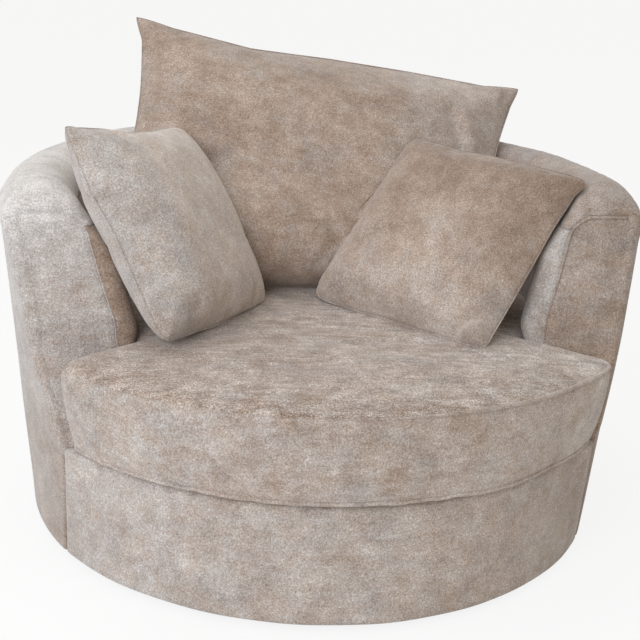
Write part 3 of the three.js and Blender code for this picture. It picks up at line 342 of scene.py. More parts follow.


# The chair's cloths, by what they cover. Each one's silver and cool are partly the pile's own tone and
# partly painted light and shade of how much light that piece gets, and its direction terms paint light
# and shade across it.
CLOTHS = {
    "barrel": {"silver": -0.03, "streak": 0.35, "cool": 0.5, "shading_greyness": 3.0,
               "shading_slopes": [((-0.20, 0, 0.40), 0.15, -0.2, 0.2), ((-0.9, 0, 4.0), 2.90, 0, 0.20)]},
    "inner": {"silver": -0.05, "shading_greyness": 3.0, "shading_slopes": [((0.40, 0, 0), 0, -0.2, 0.2)]},
    "border": {"silver": 0.09, "cool": 0.5, "streak": 0.35, "shading_greyness": 9,
               "shading_slopes": [((-0.06, 0, 0), 0, -0.2, 0.2)]},
    "seat": {"turn": (0, 0, 4), "silver": 0.06, "streak": 0.5, "shading_greyness": -12,
             "shading_slopes": [((0.03, 0, 0), 0, -0.1, 0.1)]},
    "seat_top": {"turn": (0, 0, 4), "silver": -0.015, "cool": 0.33, "streak": 1.0, "grain": 1.7,
                 "shading_slopes": [((0.10, 0, 0), 0, -0.1, 0.1)]},
    "back": {"turn": (0, 0, 20), "silver": -0.06, "cool": 0.12, "shading_slopes": [((1.5, 0, 0), 0.22, 0, 0.16)]},
    "left": {"turn": (0, 30, 60), "silver": 0.16, "streak": 0.2, "shading_greyness": -5,
             "shading_slopes": [((1.8, 3.0, -0.5), -1.49, -0.06, 0.06)]},
    "right": {"turn": (0, 30, -60), "silver": -0.04, "cool": 0.08, "streak": 0.2,
              "shading_slopes": [((-0.3, -0.3, -0.8), -0.5, -0.2, 0.2)]},
}


def wood(name, light, dark, grain, layers):
    """Timber or plywood. grain is the stretch of the grain, layers the weight of the plies."""
    shader = Shader(name)
    along = shader.mapped(grain)
    figure = shader.noise(along, scale=18, detail=5)
    pores = shader.noise(along, scale=140, detail=2)
    plies = shader.wave("Z", scale=110, distortion=0.4)
    tone = shader.total(0.5, [(figure, 1.1), (pores, 0.4), (plies, layers)])
    relief = shader.total(0.5, [(pores, 0.7), (figure, 0.3)])
    return shader.finish(
        Base_Color=shader.ramp(tone, [(0.2, dark), (0.75, light)]),
        Normal=shader.bump(relief, strength=0.3, distance=0.0006),
        Roughness=shader.total(0.7, [(figure, 0.3)]), Specular_IOR_Level=0.3)


def metal(name, light, dark, roughness, metallic):
    shader = Shader(name)
    rolled = shader.noise(shader.mapped(ROLLED), scale=60)
    spots = shader.noise(shader.mapped(EVEN), scale=90)
    tone = shader.total(0.5, [(rolled, 0.5), (spots, 0.5)])
    return shader.finish(
        Base_Color=shader.ramp(tone, [(0.3, dark), (0.7, light)]),
        Normal=shader.bump(rolled, strength=0.15, distance=0.0002),
        Roughness=shader.total(roughness, [(spots, 0.3)]), Metallic=metallic)


def woven(name, light, dark, threads, depth):
    """A plain weave: threads to the metre both ways, and how deep their crossings lie."""
    shader = Shader(name)
    across, along = (shader.wave(direction, threads) for direction in ("X", "Y"))
    fluff = shader.noise(shader.mapped(EVEN), scale=260)
    weave = shader.total(0.5, [(across, 0.5), (along, 0.5), (fluff, 0.7)])
    return shader.finish(
        Base_Color=shader.ramp(weave, [(0.2, dark), (0.8, light)]),
        Normal=shader.bump(weave, strength=0.5, distance=depth),
        Roughness=shader.total(0.9, [(fluff, 0.15)]), Specular_IOR_Level=0.1)


def fleecy(name, light, dark, scale, depth):
    """Felt, foam or pressed board: fibres or cells of one size, with soft patches."""
    shader = Shader(name)
    flat = shader.mapped(EVEN)
    patches = shader.noise(flat, scale=24)
    grains = shader.noise(flat, scale, detail=4, roughness=0.7)
    tone = shader.total(0.5, [(patches, 0.5), (grains, 1.0)])
    return shader.finish(
        Base_Color=shader.ramp(tone, [(0.25, dark), (0.75, light)]),
        Normal=shader.bump(grains, strength=0.5, distance=depth),
        Roughness=shader.total(0.9, [(patches, 0.2)]), Specular_IOR_Level=0.1)


# By slot: maker, name, light and dark colour, and the maker's own settings
INNER_MATERIALS = {
    "plywood": (wood, "birch_ply", (214, 188, 148), (176, 142, 100), ALONG_X, 0.35),
    "timber": (wood, "beech", (216, 192, 154), (180, 150, 110), ALONG_Z, 0.0),
    "hardboard": (fleecy, "hardboard", (158, 128, 98), (110, 82, 58), 300, 0.0004),
    "bright_steel": (metal, "bright_steel", (205, 207, 210), (150, 152, 156), 0.32, 1.0),
    "swivel_plate": (metal, "black_plate", (62, 63, 66), (34, 35, 38), 0.5, 0.6),
    "felt": (fleecy, "grey_felt", (128, 125, 120), (82, 80, 76), 520, 0.0010),
    "foam": (fleecy, "cream_foam", (238, 230, 205), (208, 196, 160), 700, 0.0006),
    "black_cloth": (woven, "black_cloth", (62, 61, 64), (30, 30, 33), 260, 0.0005),
}


def finish_cad_nodes():
    """Gives each CAD node that stays its material, by the slot that the record names for it."""
    made = {}
    for part in frame["record"]["subparts"]:
        slot = part["material_slot"]
        if slot not in INNER_MATERIALS:
            continue
        if slot not in made:
            maker, name, light, dark, *settings = INNER_MATERIALS[slot]
            made[slot] = maker(name, linear(*light), linear(*dark), *settings)
        piece = frame["nodes"][part["node"]]
        if not piece.material_slots:
            piece.data.materials.append(made[slot])
        for material_slot in piece.material_slots:
            material_slot.material = made[slot]
    return made


# Mesh building

TUBE_RESOLUTION = 2
TINY = 1e-12
SEED_STEPS = (7.3, 3.1, 5.7)


def smooth_shaded(data, material):
    data.polygons.foreach_set("use_smooth", [True] * len(data.polygons))
    data.materials.append(material)


def add_mesh(name, points, faces, material):
    data = bpy.data.meshes.new(name)
    data.from_pydata([tuple(point) for point in points], [], faces)
    data.validate()
    smooth_shaded(data, material)
    return placed(name, data)


def attach(piece, body, replaced=()):
    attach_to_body(piece, body)
    if replaced:
        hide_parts(*replaced)
    return piece


def thicken(piece, thickness):
    """Makes a surface so thick, behind the side that it shows."""
    solid = piece.modifiers.new("thickness", "SOLIDIFY")
    solid.thickness = thickness
    solid.offset = -1


def grid_faces(rows, columns, closed=False, flip=False):
    """Quads of a grid whose points are numbered row by row. closed joins the last column to the first."""
    ids = np.arange(rows * columns).reshape(rows, columns)
    if closed:
        ids = np.column_stack([ids, ids[:, 0]])
    quads = np.stack([ids[:-1, :-1], ids[:-1, 1:], ids[1:, 1:], ids[1:, :-1]], axis=-1).reshape(-1, 4)
    return quads[:, ::-1 if flip else 1].tolist()


def add_skin(name, grid, material, replaced, flip=False):
    """A panel of upholstery from a grid of points, shape (rows, columns, 3), given its thickness."""
    rows, columns = grid.shape[:2]
    piece = add_mesh(name, grid.reshape(-1, 3), grid_faces(rows, columns, flip=flip), material)
    thicken(piece, SHEET)
    attach(piece, "chair_body", replaced)
    return piece


def ripple(points, scale, seed):
    """Smooth noise between about -1 and 1 at each point. scale is features to the metre along X, Y, Z."""
    shift = Vector([seed * step for step in SEED_STEPS])
    stretch = np.array(scale)
    values = [noise.noise(Vector(point) + shift) for point in points.reshape(-1, 3) * stretch]
    return np.array(values).reshape(points.shape[:-1])


def grid_normals(grid, flip=False):
    """Unit normals of a grid of points, from its neighbours, on the side that its faces show."""
    normal = np.cross(np.gradient(grid, axis=1), np.gradient(grid, axis=0))
    normal /= np.maximum(np.linalg.norm(normal, axis=-1, keepdims=True), TINY)
    return -normal if flip else normal


def lifted(grid, flip, lift):
    """The grid with each point moved out along its normal."""
    return grid + grid_normals(grid, flip) * lift[..., None]


def on_circle(radius, angles):
    """Plan points at angles from the middle of the front."""
    return np.stack([radius * np.sin(angles), -radius * np.cos(angles)], axis=1)


def from_back(radius, angles):
    """Plan points at angles from the middle of the back."""
    return on_circle(radius, angles) * (1, -1)


def at_height(plan, z):
    """Plan points with their height, one for all of them or one each."""
    return np.column_stack([plan, np.broadcast_to(z, len(plan))])


def edge_distance(grid):
    """How far each point of a grid lies from its side edges, along its row, and from its ends."""
    steps = np.linalg.norm(np.diff(grid, axis=1), axis=-1)
    along = np.concatenate([np.zeros((len(grid), 1)), np.cumsum(steps, axis=1)], axis=1)
    return along, along[:, -1:] - along


def tube(name, path, radius, material, body, closed=False, fullness=1.0):
    """A cord of cloth along a path of points. fullness is each point's share of the radius, or all of
    theirs."""
    curve = bpy.data.curves.new(name, "CURVE")
    curve.dimensions = "3D"
    spline = curve.splines.new("POLY")
    spline.points.add(len(path) - 1)
    for point, place, share in zip(spline.points, path, np.broadcast_to(fullness, len(path))):
        point.co = (*place, 1)
        point.radius = share
    spline.use_cyclic_u = closed
    curve.bevel_depth = radius
    curve.bevel_resolution = TUBE_RESOLUTION
    curve.use_fill_caps = True
    helper = placed(name + "_path", curve)
    bpy.context.view_layer.update()
    data = bpy.data.meshes.new_from_object(helper.evaluated_get(bpy.context.evaluated_depsgraph_get()))
    bpy.data.objects.remove(helper)
    data.name = name
    data.materials.clear()
    smooth_shaded(data, material)
    return attach(placed(name, data), body)


def smooth_step(value, low, high):
    t = np.clip((value - low) / (high - low), 0, 1)
    return t * t * (3 - 2 * t)


# Barrel

EDGE_REACH = 0.045  # rounding of the arms' inner front edge
CORNER_REACH = 0.012  # rounding of their outer front edge
CORNER_SPREAD = 0.010  # how much rounder that edge is above the seat
FOLD_REACH = 0.006  # of the outer cover's front edge below the deck
DECK_STEP = 0.006  # between its last row below the deck and the first above
OUTER_SEAM_STEP = 0.003  # from the outer edge's rounding to its seam
INNER_SEAM_STEP = 0.002
FACING_LAP = 0.004  # of the facing under the outer cover's edge
FACING_SWELL = 0.004

# Padding inside the arms: its fullness towards their front edge, and how far behind that edge
# it is full and has gone
ARM_SWELL = 0.046
SWELL_END = (EDGE_REACH * 0.7, 0.250)

# Heights between which the padding's swell comes and goes, and the facing's comes
SWELL_RISE = (SEAT_TOP - 0.045, SEAT_TOP + 0.040)
SWELL_FALL = (FACING_TOP - 0.085, FACING_TOP + 0.015)
FACING_RISE = (SEAT_TOP + 0.002, SEAT_TOP + 0.052)

# From the wall's corner out to the facing's inner seam, and what is added beside the seat
# cushion and at the top
INNER_SEAM = 0.008
LOW_SEAM = 0.009
LOW_SEAM_FALL = (SEAT_TOP, SEAT_TOP + 0.060)
TOP_SEAM = 0.032
TOP_SEAM_HEIGHT = 0.040
TOP_SEAM_POWER = 2.5

BACK_COLUMNS = 150
END_COLUMNS = 22
CORNER_COLUMNS = 12
FLAT_COLUMNS = 4
FACING_COLUMNS = 30
FACING_ROWS = 70
LOW_ROWS = 24
WALL_ROWS = 46
INNER_ROWS = 60
ROLL_ROWS = 30
ROLL_SIDE_ROWS = 4
ROLL_BLEND = 2.2  # how fast the roll leaves the form of each of its edges

# The hem's fold: how far in under the chair, and how far above the hem's height
HEM_FOLD = ((0.025, 0.0040), (0.014, 0.0012), (0.007, 0.0002), (0.003, 0.0008))
HEM_TOP = HEM_HEIGHT + 0.004

SEAM_RADIUS = 0.0014
FACING_SEAM_DEPTH = 0.0016
FACING_PIPING_RADIUS = 0.0030
FACING_PIPING_STAND = 0.0004
PIPED_ROWS = 28
SEAM_DIP = 0.0022  # how far panels are drawn in at a seam
SEAM_DIP_WIDTH = 0.012
SOFT_RISE = (0, 0.05)  # from a panel's side edges, where its own swells are full
ROLL_DIP = 0.15  # share of it at the roll's edges

# Crushing of the roll's cloth: how far it lifts everywhere, at its creases and near the arms' ends,
# between which heights it comes, and how far from the side edges and the inner cover it is full
CRUSH_LIFT = 0.0010
CRUSH_RISE = (ROLL_HEIGHT - 0.03, ROLL_HEIGHT + 0.015)
CREASE_LIFT = 0.0022
END_LIFT = 0.0030
CRUSH_FROM_EDGE = (0, 0.014)
CRUSH_FADE_ROWS = 10

# Rounding of the outer cover beside its front edge
CORNER_LIFT = 0.0020
CORNER_RISE = (0, 0.010)
CORNER_FALL = (0.03, 0.10)
CORNER_HEIGHTS = (DECK_HEIGHT, DECK_HEIGHT + 0.02)

# Facing: its fullness, its waves and the tuck of its outer edge, and how far from its edges the
# first two are full
FACING_LIFT = 0.0025
FACING_LIFT_RISE = (0, 0.05)
FACING_WAVE = 0.0012
FACING_WAVE_RISE = (0, 0.03)
FACING_TUCK = 0.0005
FACING_GAP = 0.0005  # above the deck
PIPING_RISE_POINTS = (-1, 18)  # along the right facing's piping, where it grows full

FACING_LEAN = math.atan(FACING_SLOPE)
FACING_NORMAL = np.array([0, -math.cos(FACING_LEAN), math.sin(FACING_LEAN)])
ARM_END_Y = -FACING_SETBACK + ARM_END_RADIUS * math.cos(FACING_LEAN)
ARM_END_Z = FACING_TOP - ARM_END_RADIUS * math.sin(FACING_LEAN)
END_FALL = (ARM_END_Y + 0.02, ARM_END_Y + 0.16)
ROLL_START = math.asin((FACING_TOP - ROLL_HEIGHT) / ROLL_RADIUS)


def outer_radius(z):
    return HEM_RADIUS + (CHAIR_RADIUS - HEM_RADIUS) * (z - HEM_HEIGHT) / (ROLL_HEIGHT - HEM_HEIGHT)


def inner_radius(z):
    rise = (z - DECK_HEIGHT) / (ROLL_HEIGHT - DECK_HEIGHT)
    return INNER_FOOT_RADIUS + (INNER_TOP_RADIUS - INNER_FOOT_RADIUS) * rise


def facing_y(z):
    return -(FACING_SETBACK + (FACING_TOP - z) * FACING_SLOPE)


def below_deck_end(z):
    return -math.sqrt(max(outer_radius(z) ** 2 - SEAM_X ** 2, 0))


def above_seat(z):
    """Share of the padding's swell, which begins beside the seat cushion's upper edge."""
    return smooth_step(z, *SWELL_RISE)


def facing_share(z):
    """Share of the facing's own swell, and of its outer edge's rounding: both lie above the seat."""
    return smooth_step(z, *FACING_RISE)


def cloth_y(z):
    return facing_y(z) - FACING_SWELL * facing_share(z)


def arm_swell(z):
    return ARM_SWELL * above_seat(z) * (1 - smooth_step(z, *SWELL_FALL))


def outer_reach(z):
    return CORNER_REACH + CORNER_SPREAD * facing_share(z)


def inner_seam(z):
    """From the wall's corner out to the facing's seam, which turns a soft corner at the top."""
    low = LOW_SEAM * (1 - smooth_step(z, *LOW_SEAM_FALL))
    into_top = max(0, (z - FACING_TOP + TOP_SEAM_HEIGHT) / TOP_SEAM_HEIGHT)
    return INNER_SEAM + low + TOP_SEAM * into_top ** TOP_SEAM_POWER


def outer_edge(z):
    return (outer_reach(z), outer_reach(z), OUTER_SEAM_STEP, -1, 0)


def inner_edge(z):
    return (EDGE_REACH, inner_seam(z) - INNER_SEAM_STEP, INNER_SEAM_STEP, 1, arm_swell(z))


def bezier(a, b, c, count):
    """Points along a rounded corner from a past b to c, both ends included."""
    t = np.linspace(0, 1, count)[:, None]
    return (1 - t) ** 2 * np.array(a) + 2 * t * (1 - t) * np.array(b) + t ** 2 * np.array(c)


def swell_share(behind):
    return 1 - smooth_step(behind, *SWELL_END)


def swollen(path, radius, end_y, swell):
    """Draws a plan path in by swell near the arm's front edge, and less and less behind it."""
    corner = math.atan2(math.sqrt(radius ** 2 - end_y ** 2), -end_y)
    behind = radius * (np.arctan2(path[:, 0], -path[:, 1]) - corner)
    return path * (1 - swell * swell_share(behind) / radius)[:, None]


def arm_end(radius, end_y, wall_reach, face_reach, flat, inward, swell):
    """Plan path on the right: round the wall from the roll's end to the corner, round that corner,
    and on along the face to the seam. inward is -1 where the face lies towards the axis."""
    corner_x = math.sqrt(radius ** 2 - end_y ** 2)
    start_angle = math.acos(np.clip(-ARM_END_Y / radius, -1, 1))
    stop_angle = math.atan2(corner_x, -end_y) + wall_reach / radius
    angles = np.linspace(start_angle, stop_angle, END_COLUMNS)
    arc = swollen(on_circle(radius, angles), radius, end_y, swell)
    turned = (corner_x + inward * face_reach, end_y)
    turn = bezier(arc[-1], (corner_x - swell, end_y), turned, CORNER_COLUMNS)
    on_face = np.linspace(turned, (turned[0] + inward * flat, end_y), FLAT_COLUMNS + 1)
    return np.concatenate([arc, turn[1:], on_face[1:]])


def back_arc(radius):
    """Plan path from the middle of the back to the roll's end on the right."""
    stop = math.pi - math.acos(np.clip(-ARM_END_Y / radius, -1, 1))
    return from_back(radius, np.linspace(0, stop, BACK_COLUMNS // 2 + 1))


def mirrored_row(right, heights):
    """A whole row from its right half: points from the left end round the back to the right end.
    heights is one for the row or one for each point."""
    row = at_height(right, heights)
    return np.concatenate([row[::-1][:-1] * np.array([-1, 1, 1]), row])


def wall_row(radius, z, end_y, edge):
    behind = swollen(back_arc(radius)[:-1], radius, end_y, edge[-1])
    right = np.concatenate([behind, arm_end(radius, end_y, *edge)])
    return mirrored_row(right, z)


def roll_row(turn, outer_end, inner_end):
    """A row over the roll's top: past the roll's end it comes down to the facing's top seam."""
    radius = ROLL_CENTRE + ROLL_RADIUS * math.cos(turn)
    height = ROLL_HEIGHT + ROLL_RADIUS * math.sin(turn)
    start = back_arc(radius)[-1]
    share = (1 - math.cos(turn) / math.cos(ROLL_START)) / 2
    seam = outer_end[-1] + (inner_end[-1] - outer_end[-1]) * share
    t = np.linspace(0, 1, len(outer_end))[:, None]
    path = start + (seam - start) * t
    for end, weight in ((outer_end, (1 - share) ** ROLL_BLEND), (inner_end, share ** ROLL_BLEND)):
        path = path + weight * (end - end[0] - (end[-1] - end[0]) * t)
    depth = np.clip(ARM_END_Y - path[:, 1], 0, ARM_END_Y + FACING_SETBACK)
    drop = np.sqrt(ARM_END_RADIUS ** 2 - depth ** 2)
    full = (ARM_END_Z + drop - FACING_TOP) / (ARM_END_Z + ARM_END_RADIUS - FACING_TOP)
    heights = FACING_TOP + (height - FACING_TOP) * full
    right = np.concatenate([back_arc(radius)[:-1], path])
    return mirrored_row(right, np.concatenate([np.full(BACK_COLUMNS // 2, height), heights]))


def arm_sections():
    """Radius and height of the rows where the roll meets the facing's outer and inner side."""
    outer = [(ROLL_CENTRE + ROLL_RADIUS * math.cos(turn), ROLL_HEIGHT + ROLL_RADIUS * math.sin(turn))
             for turn in np.linspace(0, ROLL_START, ROLL_SIDE_ROWS)]
    inner = [(ROLL_CENTRE - (radius - ROLL_CENTRE), z) for radius, z in outer]
    return outer, inner


def seam_dip(distance):
    """Share of the dip at a seam, by the distance from it."""
    return np.clip(1 - distance / SEAM_DIP_WIDTH, 0, 1) ** 2


def drawn_in(grid, flip, sides=1.0):
    """Draws a panel in at its seams, so that it stands soft between them. sides is the share of
    that at a row's ends."""
    dip = seam_dip(np.minimum(*edge_distance(grid))) * np.reshape(sides, (-1, 1))
    return lifted(grid, flip, -dip * SEAM_DIP)


def softened(grid, flip, amount, scale, seed):
    """Gentle hollows and swells of cloth over foam, less of them at the panel's own edges."""
    share = smooth_step(np.minimum(*edge_distance(grid)), *SOFT_RISE)
    return lifted(grid, flip, ripple(grid, scale, seed) * amount * share)


def make_outer_cover(material):
    fold = (FOLD_REACH, FOLD_REACH, OUTER_SEAM_STEP, -1, 0)
    hem = outer_radius(HEM_HEIGHT)
    end = below_deck_end(HEM_HEIGHT)
    rows = [wall_row(hem - inset, HEM_HEIGHT + lift, end + inset, fold) for inset, lift in HEM_FOLD]
    for z in np.linspace(HEM_TOP, DECK_HEIGHT, LOW_ROWS):
        rows.append(wall_row(outer_radius(z), z, below_deck_end(z), fold))
    at_border = len(rows)
    heights = np.linspace(DECK_HEIGHT + DECK_STEP, ROLL_HEIGHT, WALL_ROWS)[:-1]
    outer, inner = arm_sections()
    for radius, z in [(outer_radius(z), z) for z in heights] + outer:
        rows.append(wall_row(radius, z, cloth_y(z), outer_edge(z)))
    at_roll = len(rows)
    reach = ROLL_RADIUS * math.cos(ROLL_START)
    top_y = cloth_y(FACING_TOP)
    outer_end = arm_end(ROLL_CENTRE + reach, top_y, *outer_edge(FACING_TOP))
    inner_end = arm_end(ROLL_CENTRE - reach, top_y, *inner_edge(FACING_TOP))
    for turn in np.linspace(ROLL_START, math.pi - ROLL_START, ROLL_ROWS)[1:-1]:
        rows.append(roll_row(turn, outer_end, inner_end))
    past_roll = len(rows)
    for radius, z in inner[::-1]:
        rows.append(wall_row(radius, z, cloth_y(z), inner_edge(z)))
    sides = np.ones(len(rows))
    sides[at_border:at_roll] = 0
    sides[at_roll:past_roll] = ROLL_DIP
    grid = drawn_in(np.array(rows), True, sides)
    grid = softened(grid, True, amount=0.0022, scale=(7, 7, 5), seed=1)
    y, z = grid[..., 1], grid[..., 2]
    from_edge = np.minimum(*edge_distance(grid))
    creases = np.abs(ripple(grid, scale=(26, 40, 30), seed=2)) ** 0.6
    near_end = 1 - smooth_step(y, *END_FALL)
    to_inner_cover = smooth_step(np.arange(len(rows))[::-1], 0, CRUSH_FADE_ROWS)[:, None]
    lift = CRUSH_LIFT + CREASE_LIFT * creases + END_LIFT * near_end
    lift = lift * smooth_step(z, *CRUSH_RISE) * smooth_step(from_edge, *CRUSH_FROM_EDGE) * to_inner_cover
    round_corner = smooth_step(from_edge, *CORNER_RISE) * (1 - smooth_step(from_edge, *CORNER_FALL))
    lift += CORNER_LIFT * round_corner * smooth_step(z, *CORNER_HEIGHTS)
    return add_skin("outer_fabric", lifted(grid, True, lift), material, ["outer_cover"], flip=True)


def make_inner_cover(material):
    rows = [wall_row(inner_radius(z), z, cloth_y(z), inner_edge(z))
            for z in np.linspace(INNER_BOTTOM, ROLL_HEIGHT, INNER_ROWS)]
    grid = softened(drawn_in(np.array(rows), False), False, amount=0.0015, scale=(8, 8, 5), seed=3)
    return add_skin("inner_fabric", grid, material, ["inner_cover"])


def make_facing(side, sign, material):
    rows = []
    for z in np.linspace(DECK_HEIGHT + FACING_GAP, FACING_TOP, FACING_ROWS):
        y = cloth_y(z)
        if z <= ROLL_HEIGHT:
            outer, inner = outer_radius(z), inner_radius(z)
        else:
            reach = math.sqrt(ROLL_RADIUS ** 2 - (z - ROLL_HEIGHT) ** 2)
            outer, inner = ROLL_CENTRE + reach, ROLL_CENTRE - reach
        outer_x = math.sqrt(outer ** 2 - y ** 2) - outer_reach(z) - OUTER_SEAM_STEP + FACING_LAP
        inner_x = math.sqrt(inner ** 2 - y ** 2) + inner_seam(z)
        across = sign * np.linspace(inner_x, outer_x, FACING_COLUMNS)
        rows.append(at_height(np.column_stack([across, np.full(FACING_COLUMNS, y)]), z))
    edge = np.array(rows)
    from_inner, from_outer = edge_distance(edge)
    down = (FACING_TOP - edge[..., 2]) / math.cos(FACING_LEAN)
    dip = np.maximum(seam_dip(from_inner), ROLL_DIP * seam_dip(down))
    from_edge = np.minimum(np.minimum(from_inner, from_outer), down)
    lift = FACING_LIFT * smooth_step(from_edge, *FACING_LIFT_RISE) * above_seat(edge[..., 2])
    wave = ripple(edge, scale=(12, 12, 9), seed=31)
    lift += wave * FACING_WAVE * smooth_step(from_edge, *FACING_WAVE_RISE)
    under = FACING_TUCK * np.clip(1 - from_outer / FACING_LAP, 0, 1)
    grid = edge + FACING_NORMAL * (lift - under - dip * SEAM_DIP)[..., None]
    add_skin(side + "_facing_fabric", grid, material, [side + "_facing_cover"], flip=sign < 0)
    seam = edge[:, 0] - FACING_NORMAL * FACING_SEAM_DEPTH
    tube(side + "_facing_seam", seam, SEAM_RADIUS, material, "chair_body")
    if side == "right":
        top = np.concatenate([edge[-PIPED_ROWS:, 0], edge[-1, 1:-2]]) + FACING_NORMAL * FACING_PIPING_STAND
        tube("right_facing_piping", top, FACING_PIPING_RADIUS, material, "chair_body",
             fullness=smooth_step(np.arange(len(top)), *PIPING_RISE_POINTS))


# Front border. The fold at its top: how far in, and at what height
BORDER_TOP_FOLD = ((0.0014, DECK_HEIGHT - 0.0048), (0.0050, DECK_HEIGHT - 0.0013),
                   (0.0090, DECK_HEIGHT - 0.0002), (0.0140, DECK_HEIGHT + 0.0001),
                   (0.060, DECK_HEIGHT + 0.0002))
BORDER_TOP = DECK_HEIGHT - 0.010
BORDER_ROWS = 30
BORDER_COLUMNS = 140
BORDER_DIP = 0.004
BORDER_DIP_END = (DECK_HEIGHT - 0.020, DECK_HEIGHT - 0.002)
BORDER_SWELL = (0.075, 0.012)  # how far from the seam it begins and is full
BORDER_GAP = 0.001  # in radians, from the seam
BORDER_SEAM_DEPTH = 0.0010


def border_radius(angle, z, stop):
    """The border swells out to the outer cover at its ends, and is drawn in at the seam itself."""
    dip = BORDER_DIP * (1 - smooth_step(z, *BORDER_DIP_END))
    to_seam = (stop - np.abs(angle)) * HEM_RADIUS
    swell = (outer_radius(z) - HEM_RADIUS) * smooth_step(to_seam, *BORDER_SWELL)
    return HEM_RADIUS + swell - dip * seam_dip(to_seam)


def turned_in(row, inset, z):
    """A row of a fold, so far in from a row of the border's face."""
    return at_height(row[:, :2] * (1 - inset / HEM_RADIUS), z)


def make_front_border(material):
    rows = []
    for z in np.linspace(HEM_TOP, BORDER_TOP, BORDER_ROWS):
        stop = math.asin(SEAM_X / outer_radius(z)) - BORDER_GAP
        angles = np.linspace(-stop, stop, BORDER_COLUMNS)
        rows.append(at_height(on_circle(border_radius(angles, z, stop), angles), z))
    rows = ([turned_in(rows[0], inset, HEM_HEIGHT + lift) for inset, lift in HEM_FOLD] + rows
            + [turned_in(rows[-1], inset, z) for inset, z in BORDER_TOP_FOLD])
    grid = softened(np.array(rows), False, amount=0.0016, scale=(9, 9, 6), seed=5)
    grid[..., 2] = np.minimum(grid[..., 2], BORDER_TOP_FOLD[-1][1])
    add_skin("front_border_fabric", grid, material, ["front_border_cover"])
    for side, column in (("left", 0), ("right", -1)):
        face = grid[len(HEM_FOLD) - 1:-len(BORDER_TOP_FOLD), column]
        seam = face + np.array([0, BORDER_SEAM_DEPTH, 0])
        tube(side + "_border_seam", seam, SEAM_RADIUS, material, "chair_body")


# Seat cushion

SEAT_PIPING_RADIUS = 0.0042
SEAT_PIPING_STAND = 0.0014
HIGH_PIPING_RISE = (-0.05, 0.20)  # across the seat, where the upper piping grows full
HIGH_PIPING_LEAST = 0.2  # share of its radius before that
SEAT_GAP = 0.0015  # from the barrel
SEAT_SWELL = 0.003
SEAT_PUCKER = 0.0035
LOW_PUCKERS = np.linspace(0.9, 0, 7)  # share of it in the rings from the lower seam up
HIGH_PUCKERS = np.linspace(0, 0.4, 5)  # and in the rings up to the upper seam
SEAT_SAG = 0.0022


def seat_front(angle, drawn):
    """Reach of the front edge in plan, at an angle in degrees from the middle of the back."""
    along = math.cos(math.radians(angle)) * SEAT_FRONT_CENTRE
    across = math.sin(math.radians(angle)) * SEAT_FRONT_CENTRE
    tuck = drawn * ((180 - angle) / (180 - SEAT_WING_ANGLE)) ** 2
    return along + math.sqrt(SEAT_FRONT_RADIUS ** 2 - across ** 2) - tuck


def seat_outline(drawn, rear_count=60, tip_count=16, front_count=80):
    """Plan outline, from the middle of the back clockwise, as (x, y) points."""
    rear = inner_radius(SEAT_TOP)
    half = [(angle, rear) for angle in np.linspace(0, SEAT_WING_ANGLE, rear_count)]
    tip_end = SEAT_WING_ANGLE + SEAT_TIP_TURN
    reach = seat_front(tip_end, drawn)
    for t in np.linspace(0, 1, tip_count + 1)[1:-1]:
        out = rear + (reach - rear) * (1 - (1 - t) ** SEAT_TIP_ROUND) ** (1 / SEAT_TIP_OUT)
        half.append((SEAT_WING_ANGLE + SEAT_TIP_TURN * t ** SEAT_TIP_BEND, out))
    half += [(angle, seat_front(angle, drawn)) for angle in np.linspace(tip_end, 180, front_count)]
    angles, reaches = np.array(half + [(360 - angle, reach) for angle, reach in half[-2:0:-1]]).T
    return from_back(reaches, np.radians(angles))


def clear_of_barrel(points, gap):
    """Moves points out of the arms and back: in towards the axis, or forward of the facing."""
    moved = points.copy()
    radius = np.hypot(moved[:, 0], moved[:, 1])
    plain = inner_radius(moved[:, 2])
    angle = np.arctan2(np.abs(moved[:, 0]), -moved[:, 1])
    corner = np.arccos(np.clip(-facing_y(moved[:, 2]) / plain, -1, 1))
    wall = plain - arm_swell(moved[:, 2]) * swell_share(plain * (angle - corner)) - gap
    face = facing_y(moved[:, 2]) - gap
    inside = np.minimum(radius - wall, moved[:, 1] - face) > 0
    forward = inside & (moved[:, 1] - face < radius - wall)
    inward = inside & ~forward
    moved[forward, 1] = face[forward]
    shrink = np.where(inward, wall / np.maximum(radius, TINY), 1)
    moved[:, :2] *= shrink[:, None]
    return moved


# The wall above its rounding at the lower seam: its plan and bulge there, where it starts, how far
# it goes up, and the tuck that it starts with
WALL_PLAN = 1.003
WALL_BULGE = 0.010
WALL_START = 0.110
WALL_RISE = 0.825
WALL_TUCK = 0.90
TOP_FULLNESS = 1.02

# Rings from the underside up: share of the plan, of the wall's height, of the crown and of the tuck
SEAT_RINGS = (
    [(share, 0, 0, 1) for share in np.linspace(0.05, 0.94, 12)]
    + [(0.952, 0.004, 0, 1), (0.966, 0.042, 0, 0.98)]
    + [(0.997, 0.080, 0, 0.94), (WALL_PLAN, WALL_START, 0, WALL_TUCK)]
    + [(WALL_PLAN + WALL_BULGE * math.sin(math.pi * t) ** 0.8, WALL_START + WALL_RISE * t, 0,
        WALL_TUCK * (1 - t)) for t in np.linspace(0.06, 0.94, 14)]
    + [(WALL_PLAN, 0.950, 0, 0), (0.999, 0.985, 0, 0), (0.9945, 1.0, 0, 0)]
    + [(share, 1, (1 - share ** 6) ** 0.62 * TOP_FULLNESS, 0) for share in np.linspace(0.985, 0.05, 34)]
)
SEAT_LOW_SEAM_RING = 14
SEAT_HIGH_SEAM_RING = 32


